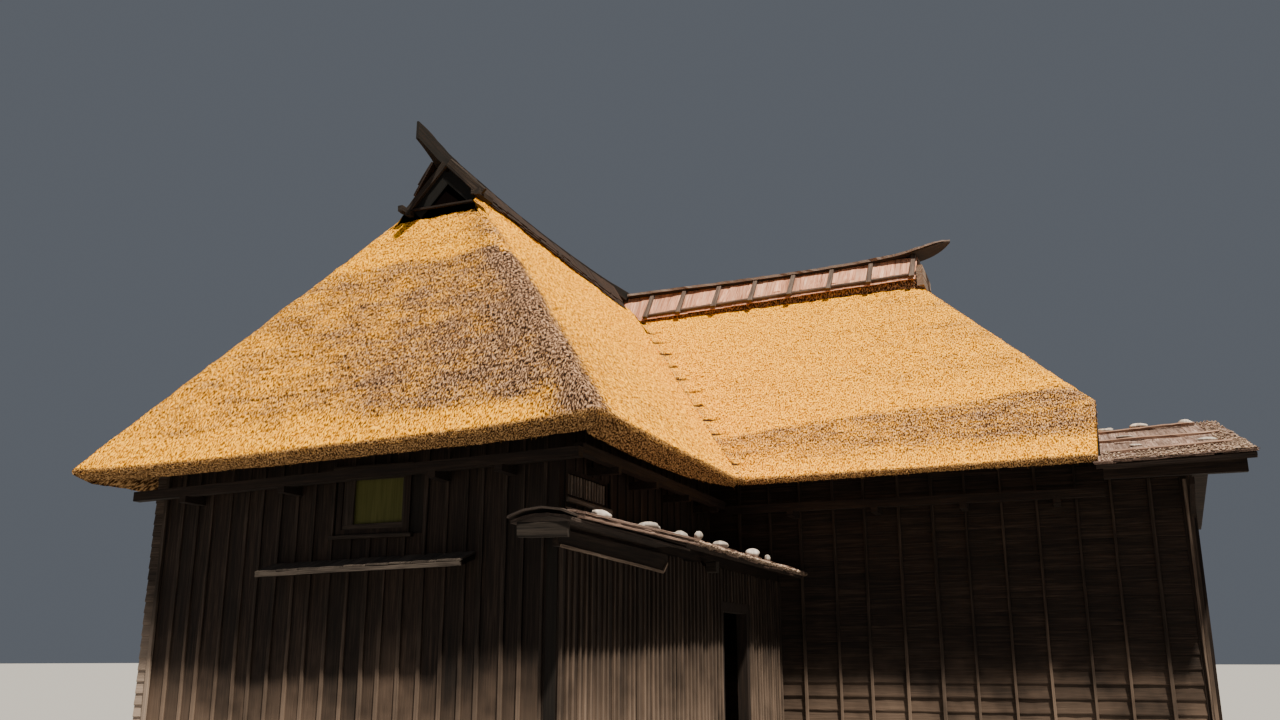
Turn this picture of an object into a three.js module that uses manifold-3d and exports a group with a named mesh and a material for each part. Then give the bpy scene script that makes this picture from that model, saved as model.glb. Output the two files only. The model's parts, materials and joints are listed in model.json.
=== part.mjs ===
// Minka farmhouse of the snow country: two thatched wings in an L, an entrance lean-to
// along the front wing, and a low end bay with a bark roof. Millimetres, Z up, ground at 0.
// X runs along the main wing, Y runs away from the front, and the main wing's front wall is
// at Y = 0. The origin is the middle of the whole house on the ground.
import * as THREE from "three";
import { mergeVertices } from "three/addons/utils/BufferGeometryUtils.js";
import Module from "manifold-3d";

const wasm = await Module();
wasm.setup();

// Driving dimensions: fits and thicknesses
const FIT = 0.3;
const FAR = 40000;
const WALL = 100;
const POST = 150;
const POST_PROUD = 30;
const EAVE_DROP = 200;
const BARK = 70;

// Driving dimensions: plan of the walls, outer faces
const FRONT_WING_LEFT = -5820;
const FRONT_WING_RIGHT = -480;
const FRONT_WING_FRONT = -5000;
const MAIN_FRONT = 0;
const MAIN_BACK = 6800;
const END_BAY_RIGHT = 5890;
const GROUND = 0;

// Driving dimensions: thatched roofs
const EAVE_TOP = 3920;
const LEFT_EAVE_TOP = 3720;
const LEFT_EAVE_X = -6590;
const INNER_EAVE_X = 270;
const FRONT_EAVE_Y = -5700;
const MAIN_EAVE_Y = -800;
const FRONT_RIDGE_X = -3160;
const FRONT_APEX_Z = 8180;
const MAIN_RIDGE_Y = (MAIN_FRONT + MAIN_BACK) / 2;
const MAIN_PITCH = 0.989;
const MAIN_RISE = 0.012;
const FRONT_HIP_PITCH = 1.51;
const GABLE_Y = -3350;
const THATCH_END_X = 4890;
const END_HIP_EAVE_Z = 4910;
const END_HIP_PITCH = 1.127;

// Driving dimensions: ridges
const CAP_HALF_WIDTH = 450;
const CAP_SHOULDER = 120;
const FRONT_CAP_TOP = 8220;
const MAIN_CAP_TOP = 8150;
const MAIN_CAP_RISE = 0.034;
const RIDGE_POLE_DEPTH = 115;
const RIDGE_POLE_WIDTH = 230;
const MAIN_RIDGE_END_X = 2200;

// Driving dimensions: the horns at the ridges' ends, as points along the ridge and up
const FRONT_HORN_UNDER = [[-3660, 8190], [-3900, 8250]];
const FRONT_HORN_TIP = [-3930, 8500];
const FRONT_HORN_TOP = [[-3510, 8430], [-3200, 8365]];
const FRONT_HORN_END_Y = -2900;
const FRONT_HORN_NECK_Z = 8130;
const MAIN_HORN_UNDER = [[MAIN_RIDGE_END_X, 8220], [2310, 8235], [2700, 8360]];
const MAIN_HORN_TIP = [2900, 8560];
const MAIN_HORN_TOP = [[2550, 8500]];
const MAIN_HORN_END_X = 1900;

// Driving dimensions: smoke gable
const SMOKE_BASE_Z = 7460;
const SMOKE_APEX_Z = 7930;
const SMOKE_DEPTH = 900;
const BARGE_THICKNESS = 60;
const BARGE_WIDTH = 130;
const BARGE_FOOT_Z = 7560;
const BARGE_REACH = 560;

// Driving dimensions: windows of the front wing
const WINDOW = { left: -3220, right: -2260, bottom: 2880, top: 3630 };
const LATTICE = { near: -4860, far: -3750, bottom: 3200, top: 3515 };
const FRAME_WIDTH = 70;
const PANE = 20;

// Driving dimensions: hood across the front wall
const HOOD = { left: -4020, right: -1420, depth: 320, climb: 0.022 };
const HOOD_WALL_Z = { under: 2530, top: 2590 };
const HOOD_EDGE_Z = { under: 2430, top: 2480 };

// Driving dimensions: entrance lean-to
const LEAN_TO_X = 540;
const LEAN_TO_EAVE_X = 890;
const LEAN_TO_NEAR_Y = -7100;
const LEAN_TO_TOP = 2600;
const LEAN_TO_PITCH = 0.3;
const LEAN_TO_EAVE_Z = 2700;
const LEAN_TO_ROOF_NEAR_Y = -4870;
const SCREEN_ROOF = { near: -7600, left: 360, right: 930, eave: 2655, rise: 70 };
const DOOR = { near: -2640, far: -1690, top: 2100 };
const DOOR_POST = 110;
const EAVE_BOARD = { near: -7200, far: -4650, top: 2590, depth: 190, climb: 50, corner: 90, thick: 60 };

// Driving dimensions: low end bay
const END_ROOF_X = 6590;
const END_EAVE_Y = -700;
const END_EAVE_Z = 3880;
const END_PITCH = 0.273;
const END_RISE = 0.03;
const END_BEAM = 100;
const STRUT = 60;
const STRUT_FOOT_Z = 3250;
const STRUT_HEAD_Z = 3700;

// Driving dimensions: bracketed eave beams
const EAVE_BEAM = 110;
const EAVE_ARM = 90;
const EAVE_NOTCH = 20;
const FRONT_BEAM_OUT = 360;
const SIDE_BEAM_OUT = 400;
const FRONT_BEAM_PAST = 80;
const FRONT_BEAM_TOP = 3560;
const INNER_BEAM_TOP = 3700;
const MAIN_BEAM_TOP = 3640;
const FRONT_ARMS = [-5150, -3750, -1800, -1000];
const ARMS = 4;

// Derived: the pitch of the front wing's two long slopes
const FRONT_HALF = INNER_EAVE_X - FRONT_RIDGE_X;
const INNER_PITCH = (FRONT_APEX_Z - EAVE_TOP) / FRONT_HALF;
const LEFT_PITCH = (FRONT_APEX_Z - LEFT_EAVE_TOP) / (FRONT_RIDGE_X - LEFT_EAVE_X);
const FRONT_EAVE_RISE = (EAVE_TOP - LEFT_EAVE_TOP) / (INNER_EAVE_X - LEFT_EAVE_X);
const BACK_EAVE_Y = 2 * MAIN_RIDGE_Y - MAIN_EAVE_Y;

// Materials
const finish = (color, roughness) => new THREE.MeshStandardMaterial({ color, roughness, metalness: 0 });
const THATCH = finish(0xa98a52, 0.95);
const BARK_CAP = finish(0x8a6f5e, 0.9);
const DARK_WOOD = finish(0x3a2d24, 0.8);
const BOARD = finish(0x4c3d31, 0.85);
const BARK_ROOF = finish(0x7d6756, 0.9);
const PAPER = finish(0x9a9468, 0.9);

const house = new THREE.Group();

// A closed three.js geometry as a solid that can be cut and joined
function solid(geometry, matrix = null) {
  const shape = geometry.clone();
  if (matrix) shape.applyMatrix4(matrix);
  shape.deleteAttribute("normal");
  shape.deleteAttribute("uv");
  const merged = mergeVertices(shape, 0.001);
  return new wasm.Manifold(new wasm.Mesh({
    numProp: 3,
    vertProperties: new Float32Array(merged.attributes.position.array),
    triVerts: new Uint32Array(merged.index.array),
  }));
}

// Adds a solid to the house as one named piece
function piece(name, shape, material) {
  const { vertProperties, triVerts } = shape.getMesh();
  const geometry = new THREE.BufferGeometry();
  geometry.setAttribute("position", new THREE.BufferAttribute(new Float32Array(vertProperties), 3));
  geometry.setIndex(new THREE.BufferAttribute(new Uint32Array(triVerts), 1));
  geometry.computeVertexNormals();
  const mesh = new THREE.Mesh(geometry, material);
  mesh.name = name;
  house.add(mesh);
}

// A box between two corners
function block(x0, x1, y0, y1, z0, z1) {
  const place = new THREE.Matrix4().makeTranslation((x0 + x1) / 2, (y0 + y1) / 2, (z0 + z1) / 2);
  return solid(new THREE.BoxGeometry(x1 - x0, y1 - y0, z1 - z0), place);
}

// An outline of [x, z] points carried along Y from y0 to y1
function alongY(points, y0, y1) {
  const outline = new THREE.Shape(points.map(([x, z]) => new THREE.Vector2(x, z)));
  const geometry = new THREE.ExtrudeGeometry(outline, { depth: y1 - y0, bevelEnabled: false });
  const place = new THREE.Matrix4().makeRotationX(Math.PI / 2).setPosition(0, y1, 0);
  return solid(geometry, place);
}

// An outline of [y, z] points carried along X from x0 to x1
function alongX(points, x0, x1) {
  const outline = new THREE.Shape(points.map(([y, z]) => new THREE.Vector2(y, z)));
  const geometry = new THREE.ExtrudeGeometry(outline, { depth: x1 - x0, bevelEnabled: false });
  const axes = new THREE.Matrix4().makeBasis(
    new THREE.Vector3(0, 1, 0), new THREE.Vector3(0, 0, 1), new THREE.Vector3(1, 0, 0));
  return solid(geometry, axes.setPosition(x0, 0, 0));
}

// An outline of [x, y] points carried up through the whole roof
function planPrism(points) {
  const outline = new THREE.Shape(points.map(([x, y]) => new THREE.Vector2(x, y)));
  return solid(new THREE.ExtrudeGeometry(outline, { depth: FAR / 2, bevelEnabled: false }));
}

// Everything on the inner side of a plane, as one very large box
function halfSpace(point, outward) {
  const turn = new THREE.Quaternion().setFromUnitVectors(new THREE.Vector3(0, 0, 1), outward);
  const centre = point.clone().addScaledVector(outward, -FAR / 2);
  const place = new THREE.Matrix4().compose(centre, turn, new THREE.Vector3(1, 1, 1));
  return solid(new THREE.BoxGeometry(2 * FAR, 2 * FAR, FAR), place);
}

// The part that all the given solids share
const shared = (...shapes) => shapes.reduce((a, b) => a.intersect(b));

// The given solids joined
const joined = (...shapes) => shapes.reduce((a, b) => a.add(b));

// A roof slope: a plane through a point of its eave, with its rise per millimetre along X and Y
function slope(x, y, z, riseX, riseY) {
  const normal = new THREE.Vector3(-riseX, -riseY, 1).normalize();
  const point = new THREE.Vector3(x, y, z);
  const thickness = EAVE_DROP / normal.z;
  const eaveLine = Math.abs(riseX) > Math.abs(riseY)
    ? new THREE.Vector3(0, 1, riseY)
    : new THREE.Vector3(1, 0, riseX);
  const downhill = eaveLine.cross(normal).normalize();
  if (downhill.z > 0) downhill.negate();
  return {
    outer: (lift = 0) => halfSpace(point.clone().addScaledVector(normal, lift), normal),
    under: (lower = 0) => halfSpace(point.clone().addScaledVector(normal, -thickness - lower), normal),
    eaveCut: () => halfSpace(point, downhill),
  };
}

const innerSlope = slope(INNER_EAVE_X, 0, EAVE_TOP, -INNER_PITCH, 0);
const leftSlope = slope(LEFT_EAVE_X, 0, LEFT_EAVE_TOP, LEFT_PITCH, 0);
const frontHip = slope(INNER_EAVE_X, FRONT_EAVE_Y, EAVE_TOP, FRONT_EAVE_RISE, FRONT_HIP_PITCH);
const mainFront = slope(INNER_EAVE_X, MAIN_EAVE_Y, EAVE_TOP, MAIN_RISE, MAIN_PITCH);
const mainBack = slope(INNER_EAVE_X, BACK_EAVE_Y, EAVE_TOP, MAIN_RISE, -MAIN_PITCH);
const endHip = slope(THATCH_END_X, 0, END_HIP_EAVE_Z, -END_HIP_PITCH, 0);

const behindGable = block(-FAR, FAR, GABLE_Y, FAR, -FAR / 2, FAR / 2);
const insideThatchEnd = block(-FAR, THATCH_END_X, -FAR, FAR, -FAR / 2, FAR / 2);

// The filled outer form of both thatched roofs, with their eaves cut square to each slope
function thatchForm(lift = 0) {
  const eaveFront = lift ? frontHip.outer(lift) : shared(frontHip.outer(), frontHip.eaveCut());
  const front = shared(
    innerSlope.outer(lift), leftSlope.outer(lift), mainBack.outer(lift),
    innerSlope.eaveCut(), leftSlope.eaveCut(), mainBack.eaveCut(), joined(eaveFront, behindGable));
  const main = shared(
    mainFront.outer(lift), mainBack.outer(lift), leftSlope.outer(lift), endHip.outer(lift),
    mainFront.eaveCut(), mainBack.eaveCut(), leftSlope.eaveCut(), insideThatchEnd);
  return joined(front, main);
}

// The filled form under both thatched roofs, down past the ground
function underThatch(lower = 0) {
  const front = shared(innerSlope.under(lower), leftSlope.under(lower), mainBack.under(lower),
    frontHip.under(lower));
  const main = shared(mainFront.under(lower), mainBack.under(lower), leftSlope.under(lower),
    endHip.under(lower));
  return joined(front, main);
}

// A thin upright cut between two points of the plan
function knife(x0, y0, x1, y1) {
  const length = Math.hypot(x1 - x0, y1 - y0);
  const place = new THREE.Matrix4()
    .makeRotationZ(Math.atan2(y1 - y0, x1 - x0))
    .setPosition((x0 + x1) / 2, (y0 + y1) / 2, 0);
  return solid(new THREE.BoxGeometry(length, FIT, FAR), place);
}

// Plan points where the thatch is divided along its valleys, hips and ridges
const ridgeMeet = [FRONT_RIDGE_X, MAIN_RIDGE_Y];
const valleyFoot = [INNER_EAVE_X, MAIN_EAVE_Y];
const backCorner = [LEFT_EAVE_X, BACK_EAVE_Y];
const frontRightCorner = [INNER_EAVE_X, FRONT_EAVE_Y];
const frontLeftCorner = [LEFT_EAVE_X, FRONT_EAVE_Y];
const GABLE_BASE_Z = EAVE_TOP + FRONT_HIP_PITCH * (GABLE_Y - FRONT_EAVE_Y);
const gableRight = [INNER_EAVE_X - (GABLE_BASE_Z - EAVE_TOP) / INNER_PITCH, GABLE_Y];
const gableLeft = [LEFT_EAVE_X + (GABLE_BASE_Z - LEFT_EAVE_TOP) / LEFT_PITCH, GABLE_Y];
const MAIN_APEX_Z = EAVE_TOP + MAIN_PITCH * (MAIN_RIDGE_Y - MAIN_EAVE_Y);
const END_RIDGE_X = THATCH_END_X - (MAIN_APEX_Z - END_HIP_EAVE_Z) / END_HIP_PITCH;
const endRidge = [END_RIDGE_X, MAIN_RIDGE_Y];
const END_HIP_RUN = (END_HIP_EAVE_Z - EAVE_TOP) / MAIN_PITCH;
const endFrontCorner = [THATCH_END_X, MAIN_EAVE_Y + END_HIP_RUN];
const endBackCorner = [THATCH_END_X, BACK_EAVE_Y - END_HIP_RUN];

// A plan point pushed on past its neighbour, to carry a cut clear of the roof
function beyond([x0, y0], [x1, y1], reach = 2000) {
  const length = Math.hypot(x1 - x0, y1 - y0);
  return [x1 + ((x1 - x0) * reach) / length, y1 + ((y1 - y0) * reach) / length];
}

// The triangular tunnel that lets smoke out through the gable
function smokeTunnel() {
  const half = (SMOKE_APEX_Z - SMOKE_BASE_Z) / INNER_PITCH;
  const outline = [
    [FRONT_RIDGE_X - half, SMOKE_BASE_Z],
    [FRONT_RIDGE_X + half, SMOKE_BASE_Z],
    [FRONT_RIDGE_X, SMOKE_APEX_Z],
  ];
  return alongY(outline, GABLE_Y - SMOKE_DEPTH / 2, GABLE_Y + SMOKE_DEPTH);
}

// The six slopes of thatch, each a slab of its own
function thatch() {
  const corners = {
    valley: beyond(ridgeMeet, valleyFoot),
    back: beyond(ridgeMeet, backCorner),
    frontRight: beyond(gableRight, frontRightCorner),
    frontLeft: beyond(gableLeft, frontLeftCorner),
    endFront: beyond(endRidge, endFrontCorner),
    endBack: beyond(endRidge, endBackCorner),
  };
  const cuts = [
    [ridgeMeet, corners.valley], [ridgeMeet, corners.back], [ridgeMeet, [FRONT_RIDGE_X, GABLE_Y]],
    [gableRight, corners.frontRight], [gableLeft, corners.frontLeft], [gableLeft, gableRight],
    [ridgeMeet, endRidge], [endRidge, corners.endFront], [endRidge, corners.endBack],
  ].map(([[x0, y0], [x1, y1]]) => knife(x0, y0, x1, y1));
  const shell = thatchForm().subtract(underThatch()).subtract(smokeTunnel());
  const slopes = cuts.reduce((a, b) => a.subtract(b), shell);
  const gableMid = [FRONT_RIDGE_X, GABLE_Y];
  const plans = {
    front_hip_thatch: [gableLeft, corners.frontLeft, corners.frontRight, gableRight],
    left_slope_thatch: [gableMid, ridgeMeet, corners.back, corners.frontLeft, gableLeft],
    inner_slope_thatch: [gableMid, gableRight, corners.frontRight, corners.valley, ridgeMeet],
    main_front_thatch: [ridgeMeet, corners.valley, corners.endFront, endRidge],
    main_back_thatch: [ridgeMeet, endRidge, corners.endBack, corners.back],
    end_hip_thatch: [endRidge, corners.endFront, corners.endBack],
  };
  for (const [name, plan] of Object.entries(plans)) {
    piece(name, slopes.intersect(planPrism(plan)), THATCH);
  }
}

// The outline of a ridge cap about its own middle line, from its foot to its flat top
function capOutline(middle, footZ, topZ, grow = 0) {
  const half = CAP_HALF_WIDTH + grow;
  const shoulder = CAP_SHOULDER + grow;
  return [
    [middle - half, footZ - CAP_HALF_WIDTH], [middle + half, footZ - CAP_HALF_WIDTH],
    [middle + half, footZ], [middle + shoulder, topZ + grow],
    [middle - shoulder, topZ + grow], [middle - half, footZ],
  ];
}

// A lean of the whole solid, up by rise per millimetre along X
function rising(shape, rise, x0) {
  const lean = new THREE.Matrix4().set(1, 0, 0, 0, 0, 1, 0, 0, rise, 0, 1, -rise * x0, 0, 0, 0, 1);
  return shape.transform(lean.elements);
}

// The bark caps over the two ridges
function ridgeCaps() {
  const onThatch = thatchForm(FIT);
  const frontFoot = FRONT_APEX_Z - INNER_PITCH * CAP_HALF_WIDTH + BARK;
  const mainFoot = MAIN_APEX_Z - MAIN_PITCH * CAP_HALF_WIDTH + BARK;
  const front = (grow) =>
    alongY(capOutline(FRONT_RIDGE_X, frontFoot, FRONT_CAP_TOP, grow), GABLE_Y, MAIN_RIDGE_Y + CAP_HALF_WIDTH);
  const main = rising(
    alongX(capOutline(MAIN_RIDGE_Y, mainFoot, MAIN_CAP_TOP), FRONT_RIDGE_X, MAIN_RIDGE_END_X),
    MAIN_CAP_RISE, FRONT_RIDGE_X);
  piece("front_ridge_cap", front(0).subtract(onThatch), BARK_CAP);
  piece("main_ridge_cap", main.subtract(onThatch).subtract(front(FIT)), BARK_CAP);
}

// The front wing's ridge pole: level behind, turned up into a horn over the gable
function frontRidgePole() {
  const bottom = FRONT_CAP_TOP + FIT;
  const top = FRONT_CAP_TOP + RIDGE_POLE_DEPTH;
  const gableFace = GABLE_Y - BARGE_THICKNESS - FIT;
  const outline = [
    [MAIN_RIDGE_Y + CAP_HALF_WIDTH, bottom], [gableFace, bottom], [gableFace, FRONT_HORN_NECK_Z],
    ...FRONT_HORN_UNDER, FRONT_HORN_TIP, ...FRONT_HORN_TOP, [FRONT_HORN_END_Y, top],
    [MAIN_RIDGE_Y + CAP_HALF_WIDTH, top],
  ];
  const half = RIDGE_POLE_WIDTH / 2;
  piece("front_ridge_pole", alongX(outline, FRONT_RIDGE_X - half, FRONT_RIDGE_X + half), DARK_WOOD);
}

// The main wing's ridge pole: rising a little, turned up over the end hip
function mainRidgePole() {
  const half = RIDGE_POLE_WIDTH / 2;
  const start = FRONT_RIDGE_X + CAP_SHOULDER + FRONT_CAP_TOP - MAIN_CAP_TOP;
  const lift = (x) => MAIN_CAP_TOP + MAIN_CAP_RISE * (x - FRONT_RIDGE_X);
  const outline = [
    [start, lift(start) + FIT], [MAIN_RIDGE_END_X, lift(MAIN_RIDGE_END_X) + FIT],
    ...MAIN_HORN_UNDER, MAIN_HORN_TIP, ...MAIN_HORN_TOP,
    [MAIN_HORN_END_X, lift(MAIN_HORN_END_X) + RIDGE_POLE_DEPTH], [start, lift(start) + RIDGE_POLE_DEPTH],
  ];
  piece("main_ridge_pole", alongY(outline, MAIN_RIDGE_Y - half, MAIN_RIDGE_Y + half), DARK_WOOD);
}

// The two bargeboards and the sill of the smoke gable
function smokeGable() {
  const back = GABLE_Y - FIT;
  const front = GABLE_Y - BARGE_THICKNESS;
  const apex = FRONT_CAP_TOP - FIT;
  const run = (apex - BARGE_FOOT_Z) / BARGE_REACH;
  const upright = BARGE_WIDTH * Math.hypot(1, run);
  for (const [name, side] of [["left_bargeboard", -1], ["right_bargeboard", 1]]) {
    const at = (reach, z) => [FRONT_RIDGE_X + side * (reach + FIT), z];
    const outline = [
      at(0, apex), at(BARGE_REACH, BARGE_FOOT_Z), at(BARGE_REACH, BARGE_FOOT_Z - BARGE_WIDTH / 2),
      at(BARGE_REACH - BARGE_WIDTH, BARGE_FOOT_Z - BARGE_WIDTH / 2), at(0, apex - upright),
    ];
    piece(name, alongY(outline, front, back), DARK_WOOD);
  }
  const sillTop = BARGE_FOOT_Z - BARGE_WIDTH / 2 - FIT;
  piece("gable_sill", block(FRONT_RIDGE_X - BARGE_REACH, FRONT_RIDGE_X + BARGE_REACH, front, back,
    GABLE_BASE_Z + 2 * FIT, sillTop), DARK_WOOD);
}

// The end bay's bark roof: two low slopes given by planes through their eaves
function endRoofPlane(side, down) {
  const y = side > 0 ? END_EAVE_Y : 2 * MAIN_RIDGE_Y - END_EAVE_Y;
  const normal = new THREE.Vector3(-END_RISE, -side * END_PITCH, 1).normalize();
  const point = new THREE.Vector3(THATCH_END_X, y, END_EAVE_Z).addScaledVector(normal, -down);
  return halfSpace(point, normal);
}

const underEndRoof = (lower) =>
  shared(endRoofPlane(1, BARK + lower), endRoofPlane(-1, BARK + lower));

// What the walls may fill: under the thatch, and under the bark roof in the end bay
function underRoofs() {
  const step = THATCH_END_X - FIT;
  return joined(
    underThatch(FIT).intersect(block(-FAR, step, -FAR, FAR, -FAR / 2, FAR / 2)),
    underEndRoof(FIT).intersect(block(step, FAR, -FAR, FAR, -FAR / 2, FAR / 2)));
}

const roofSpace = underRoofs();

// A wall between two corners of its plan, up to the roof
const wall = (x0, x1, y0, y1) => block(x0, x1, y0, y1, GROUND, FAR / 4).intersect(roofSpace);

// Corner posts stand a little proud of the walls that they join
function cornerPosts() {
  const left = FRONT_WING_LEFT - POST_PROUD;
  const inner = FRONT_WING_RIGHT + POST_PROUD;
  const front = FRONT_WING_FRONT - POST_PROUD;
  const end = END_BAY_RIGHT + POST_PROUD;
  const corners = {
    front_left_post: [left, front],
    front_right_post: [inner - POST, front],
    back_left_post: [left, MAIN_BACK + POST_PROUD - POST],
    end_front_post: [end - POST, MAIN_FRONT - POST_PROUD],
    end_back_post: [end - POST, MAIN_BACK + POST_PROUD - POST],
  };
  for (const [name, [x, y]] of Object.entries(corners)) {
    piece(name, wall(x, x + POST, y, y + POST), DARK_WOOD);
  }
}

// The length of wall that a corner post takes, with its fit
const CORNER = POST - POST_PROUD + FIT;

// The walls of both wings and the end bay
function walls() {
  const window = block(WINDOW.left, WINDOW.right, FRONT_WING_FRONT - WALL, FRONT_WING_FRONT + 2 * WALL,
    WINDOW.bottom, WINDOW.top);
  const lattice = block(FRONT_WING_RIGHT - 2 * WALL, FRONT_WING_RIGHT + WALL, LATTICE.near, LATTICE.far,
    LATTICE.bottom, LATTICE.top);
  piece("front_wall", wall(FRONT_WING_LEFT + CORNER, FRONT_WING_RIGHT - CORNER, FRONT_WING_FRONT,
    FRONT_WING_FRONT + WALL).subtract(window), BOARD);
  piece("inner_side_wall", wall(FRONT_WING_RIGHT - WALL, FRONT_WING_RIGHT, FRONT_WING_FRONT + CORNER,
    MAIN_FRONT - FIT).subtract(lattice), BOARD);
  piece("left_wall", wall(FRONT_WING_LEFT, FRONT_WING_LEFT + WALL, FRONT_WING_FRONT + CORNER,
    MAIN_BACK - CORNER), BOARD);
  piece("main_front_wall", wall(FRONT_WING_RIGHT - WALL, END_BAY_RIGHT - CORNER, MAIN_FRONT,
    MAIN_FRONT + WALL), BOARD);
  piece("back_wall", wall(FRONT_WING_LEFT + CORNER, END_BAY_RIGHT - CORNER, MAIN_BACK - WALL,
    MAIN_BACK), BOARD);
  piece("end_bay_wall", wall(END_BAY_RIGHT - WALL, END_BAY_RIGHT, MAIN_FRONT + CORNER,
    MAIN_BACK - CORNER), BOARD);
}

// The tie beam inside the end bay and the boarded wall over it, under the end hip
function upperEndWall() {
  const x0 = THATCH_END_X - FIT - POST;
  const x1 = THATCH_END_X - 2 * FIT;
  const y0 = MAIN_FRONT + WALL + FIT;
  const y1 = MAIN_BACK - WALL - FIT;
  const beamTop = END_EAVE_Z - EAVE_DROP;
  piece("end_tie_beam", block(x0, x1, y0, y1, beamTop - 2 * POST, beamTop), DARK_WOOD);
  const over = block(x1 - WALL, x1, y0, y1, beamTop + FIT, FAR / 4).intersect(roofSpace);
  piece("upper_end_wall", over, BOARD);
}

// The front window: a frame set in the wall and one pale sheet in it
function frontWindow() {
  const { left, right, bottom, top } = WINDOW;
  const y0 = FRONT_WING_FRONT - POST_PROUD;
  const y1 = FRONT_WING_FRONT + WALL;
  const outer = block(left + FIT, right - FIT, y0, y1, bottom + FIT, top - FIT);
  const hole = block(left + FRAME_WIDTH, right - FRAME_WIDTH, y0 - WALL, y1 + WALL,
    bottom + FRAME_WIDTH, top - FRAME_WIDTH);
  piece("window_frame", outer.subtract(hole), DARK_WOOD);
  const inset = FRAME_WIDTH + FIT;
  const mid = FRONT_WING_FRONT + WALL / 4;
  piece("window_sheet", block(left + inset, right - inset, mid, mid + PANE, bottom + inset, top - inset),
    PAPER);
}

// The frame of the latticed opening beside the front right post
function latticeFrame() {
  const { near, far, bottom, top } = LATTICE;
  const x0 = FRONT_WING_RIGHT - WALL;
  const x1 = FRONT_WING_RIGHT + POST_PROUD;
  const outer = block(x0, x1, near + FIT, far - FIT, bottom + FIT, top - FIT);
  const rim = FRAME_WIDTH / 2;
  const hole = block(x0 - WALL, x1 + WALL, near + rim, far - rim, bottom + rim, top - rim);
  piece("lattice_frame", outer.subtract(hole), DARK_WOOD);
}

// The narrow hood across the front wall, a board that climbs a little to the right
function frontHood() {
  const wallY = FRONT_WING_FRONT - FIT;
  const edgeY = wallY - HOOD.depth;
  const outline = [
    [edgeY, HOOD_EDGE_Z.under], [wallY, HOOD_WALL_Z.under], [wallY, HOOD_WALL_Z.top], [edgeY, HOOD_EDGE_Z.top],
  ];
  piece("front_hood", rising(alongX(outline, HOOD.left, HOOD.right), HOOD.climb, HOOD.left), DARK_WOOD);
}

// Places spread evenly between two ends, half a gap in from each
const spread = (from, to, count) => Array.from({ length: count }, (_, i) => from + ((i + 0.5) * (to - from)) / count);

// A beam under the eaves, carried by arms that stand out of the wall at the given places
function eaveBeam(name, places, arms, beam) {
  piece(name, joined(beam, ...places.map((at) => arms(at - EAVE_ARM / 2, at + EAVE_ARM / 2))), DARK_WOOD);
}

function eaveBeams() {
  const armZ = (top) => [top - EAVE_BEAM - EAVE_ARM + EAVE_NOTCH, top - EAVE_BEAM + EAVE_NOTCH];
  const frontY = FRONT_WING_FRONT - FRONT_BEAM_OUT;
  const span = [FRONT_WING_LEFT - FRONT_BEAM_PAST, FRONT_WING_RIGHT + SIDE_BEAM_OUT];
  const climbing = (shape) => rising(shape, FRONT_EAVE_RISE, FRONT_RIDGE_X);
  eaveBeam("front_eave_beam", FRONT_ARMS,
    (a, b) => climbing(block(a, b, frontY, FRONT_WING_FRONT - FIT, ...armZ(FRONT_BEAM_TOP))),
    climbing(block(...span, frontY, frontY + EAVE_BEAM, FRONT_BEAM_TOP - EAVE_BEAM, FRONT_BEAM_TOP)));
  const innerX = FRONT_WING_RIGHT + SIDE_BEAM_OUT;
  eaveBeam("inner_eave_beam", spread(FRONT_WING_FRONT + POST, MAIN_FRONT - POST, ARMS),
    (a, b) => block(FRONT_WING_RIGHT + FIT, innerX, a, b, ...armZ(INNER_BEAM_TOP)),
    block(innerX - EAVE_BEAM, innerX, frontY + EAVE_BEAM + FIT, MAIN_FRONT - FIT,
      INNER_BEAM_TOP - EAVE_BEAM, INNER_BEAM_TOP));
  const mainY = MAIN_FRONT - SIDE_BEAM_OUT;
  eaveBeam("main_eave_beam", spread(INNER_EAVE_X, THATCH_END_X, ARMS),
    (a, b) => block(a, b, mainY, MAIN_FRONT - FIT, ...armZ(MAIN_BEAM_TOP)),
    block(innerX + FIT, THATCH_END_X, mainY, mainY + EAVE_BEAM, MAIN_BEAM_TOP - EAVE_BEAM, MAIN_BEAM_TOP));
}

// The long boarded wall of the lean-to, in three pieces around its doorway
function leanToWalls() {
  const x0 = LEAN_TO_X - WALL;
  const head = DOOR.top + DOOR_POST;
  const near = DOOR.near - DOOR_POST;
  const far = DOOR.far + DOOR_POST;
  piece("lean_to_near_wall", block(x0, LEAN_TO_X, LEAN_TO_NEAR_Y, near - FIT, GROUND, LEAN_TO_TOP), BOARD);
  piece("lean_to_far_wall", block(x0, LEAN_TO_X, far + FIT, MAIN_FRONT - FIT, GROUND, LEAN_TO_TOP), BOARD);
  piece("lean_to_wall_over_door", block(x0, LEAN_TO_X, near, far, head + FIT, LEAN_TO_TOP), BOARD);
  const outer = block(x0, LEAN_TO_X + POST_PROUD, near, far, GROUND, head);
  const doorway = block(x0 - WALL, LEAN_TO_X + WALL, DOOR.near, DOOR.far, GROUND - WALL, DOOR.top);
  piece("door_frame", outer.subtract(doorway), DARK_WOOD);
}

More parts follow.
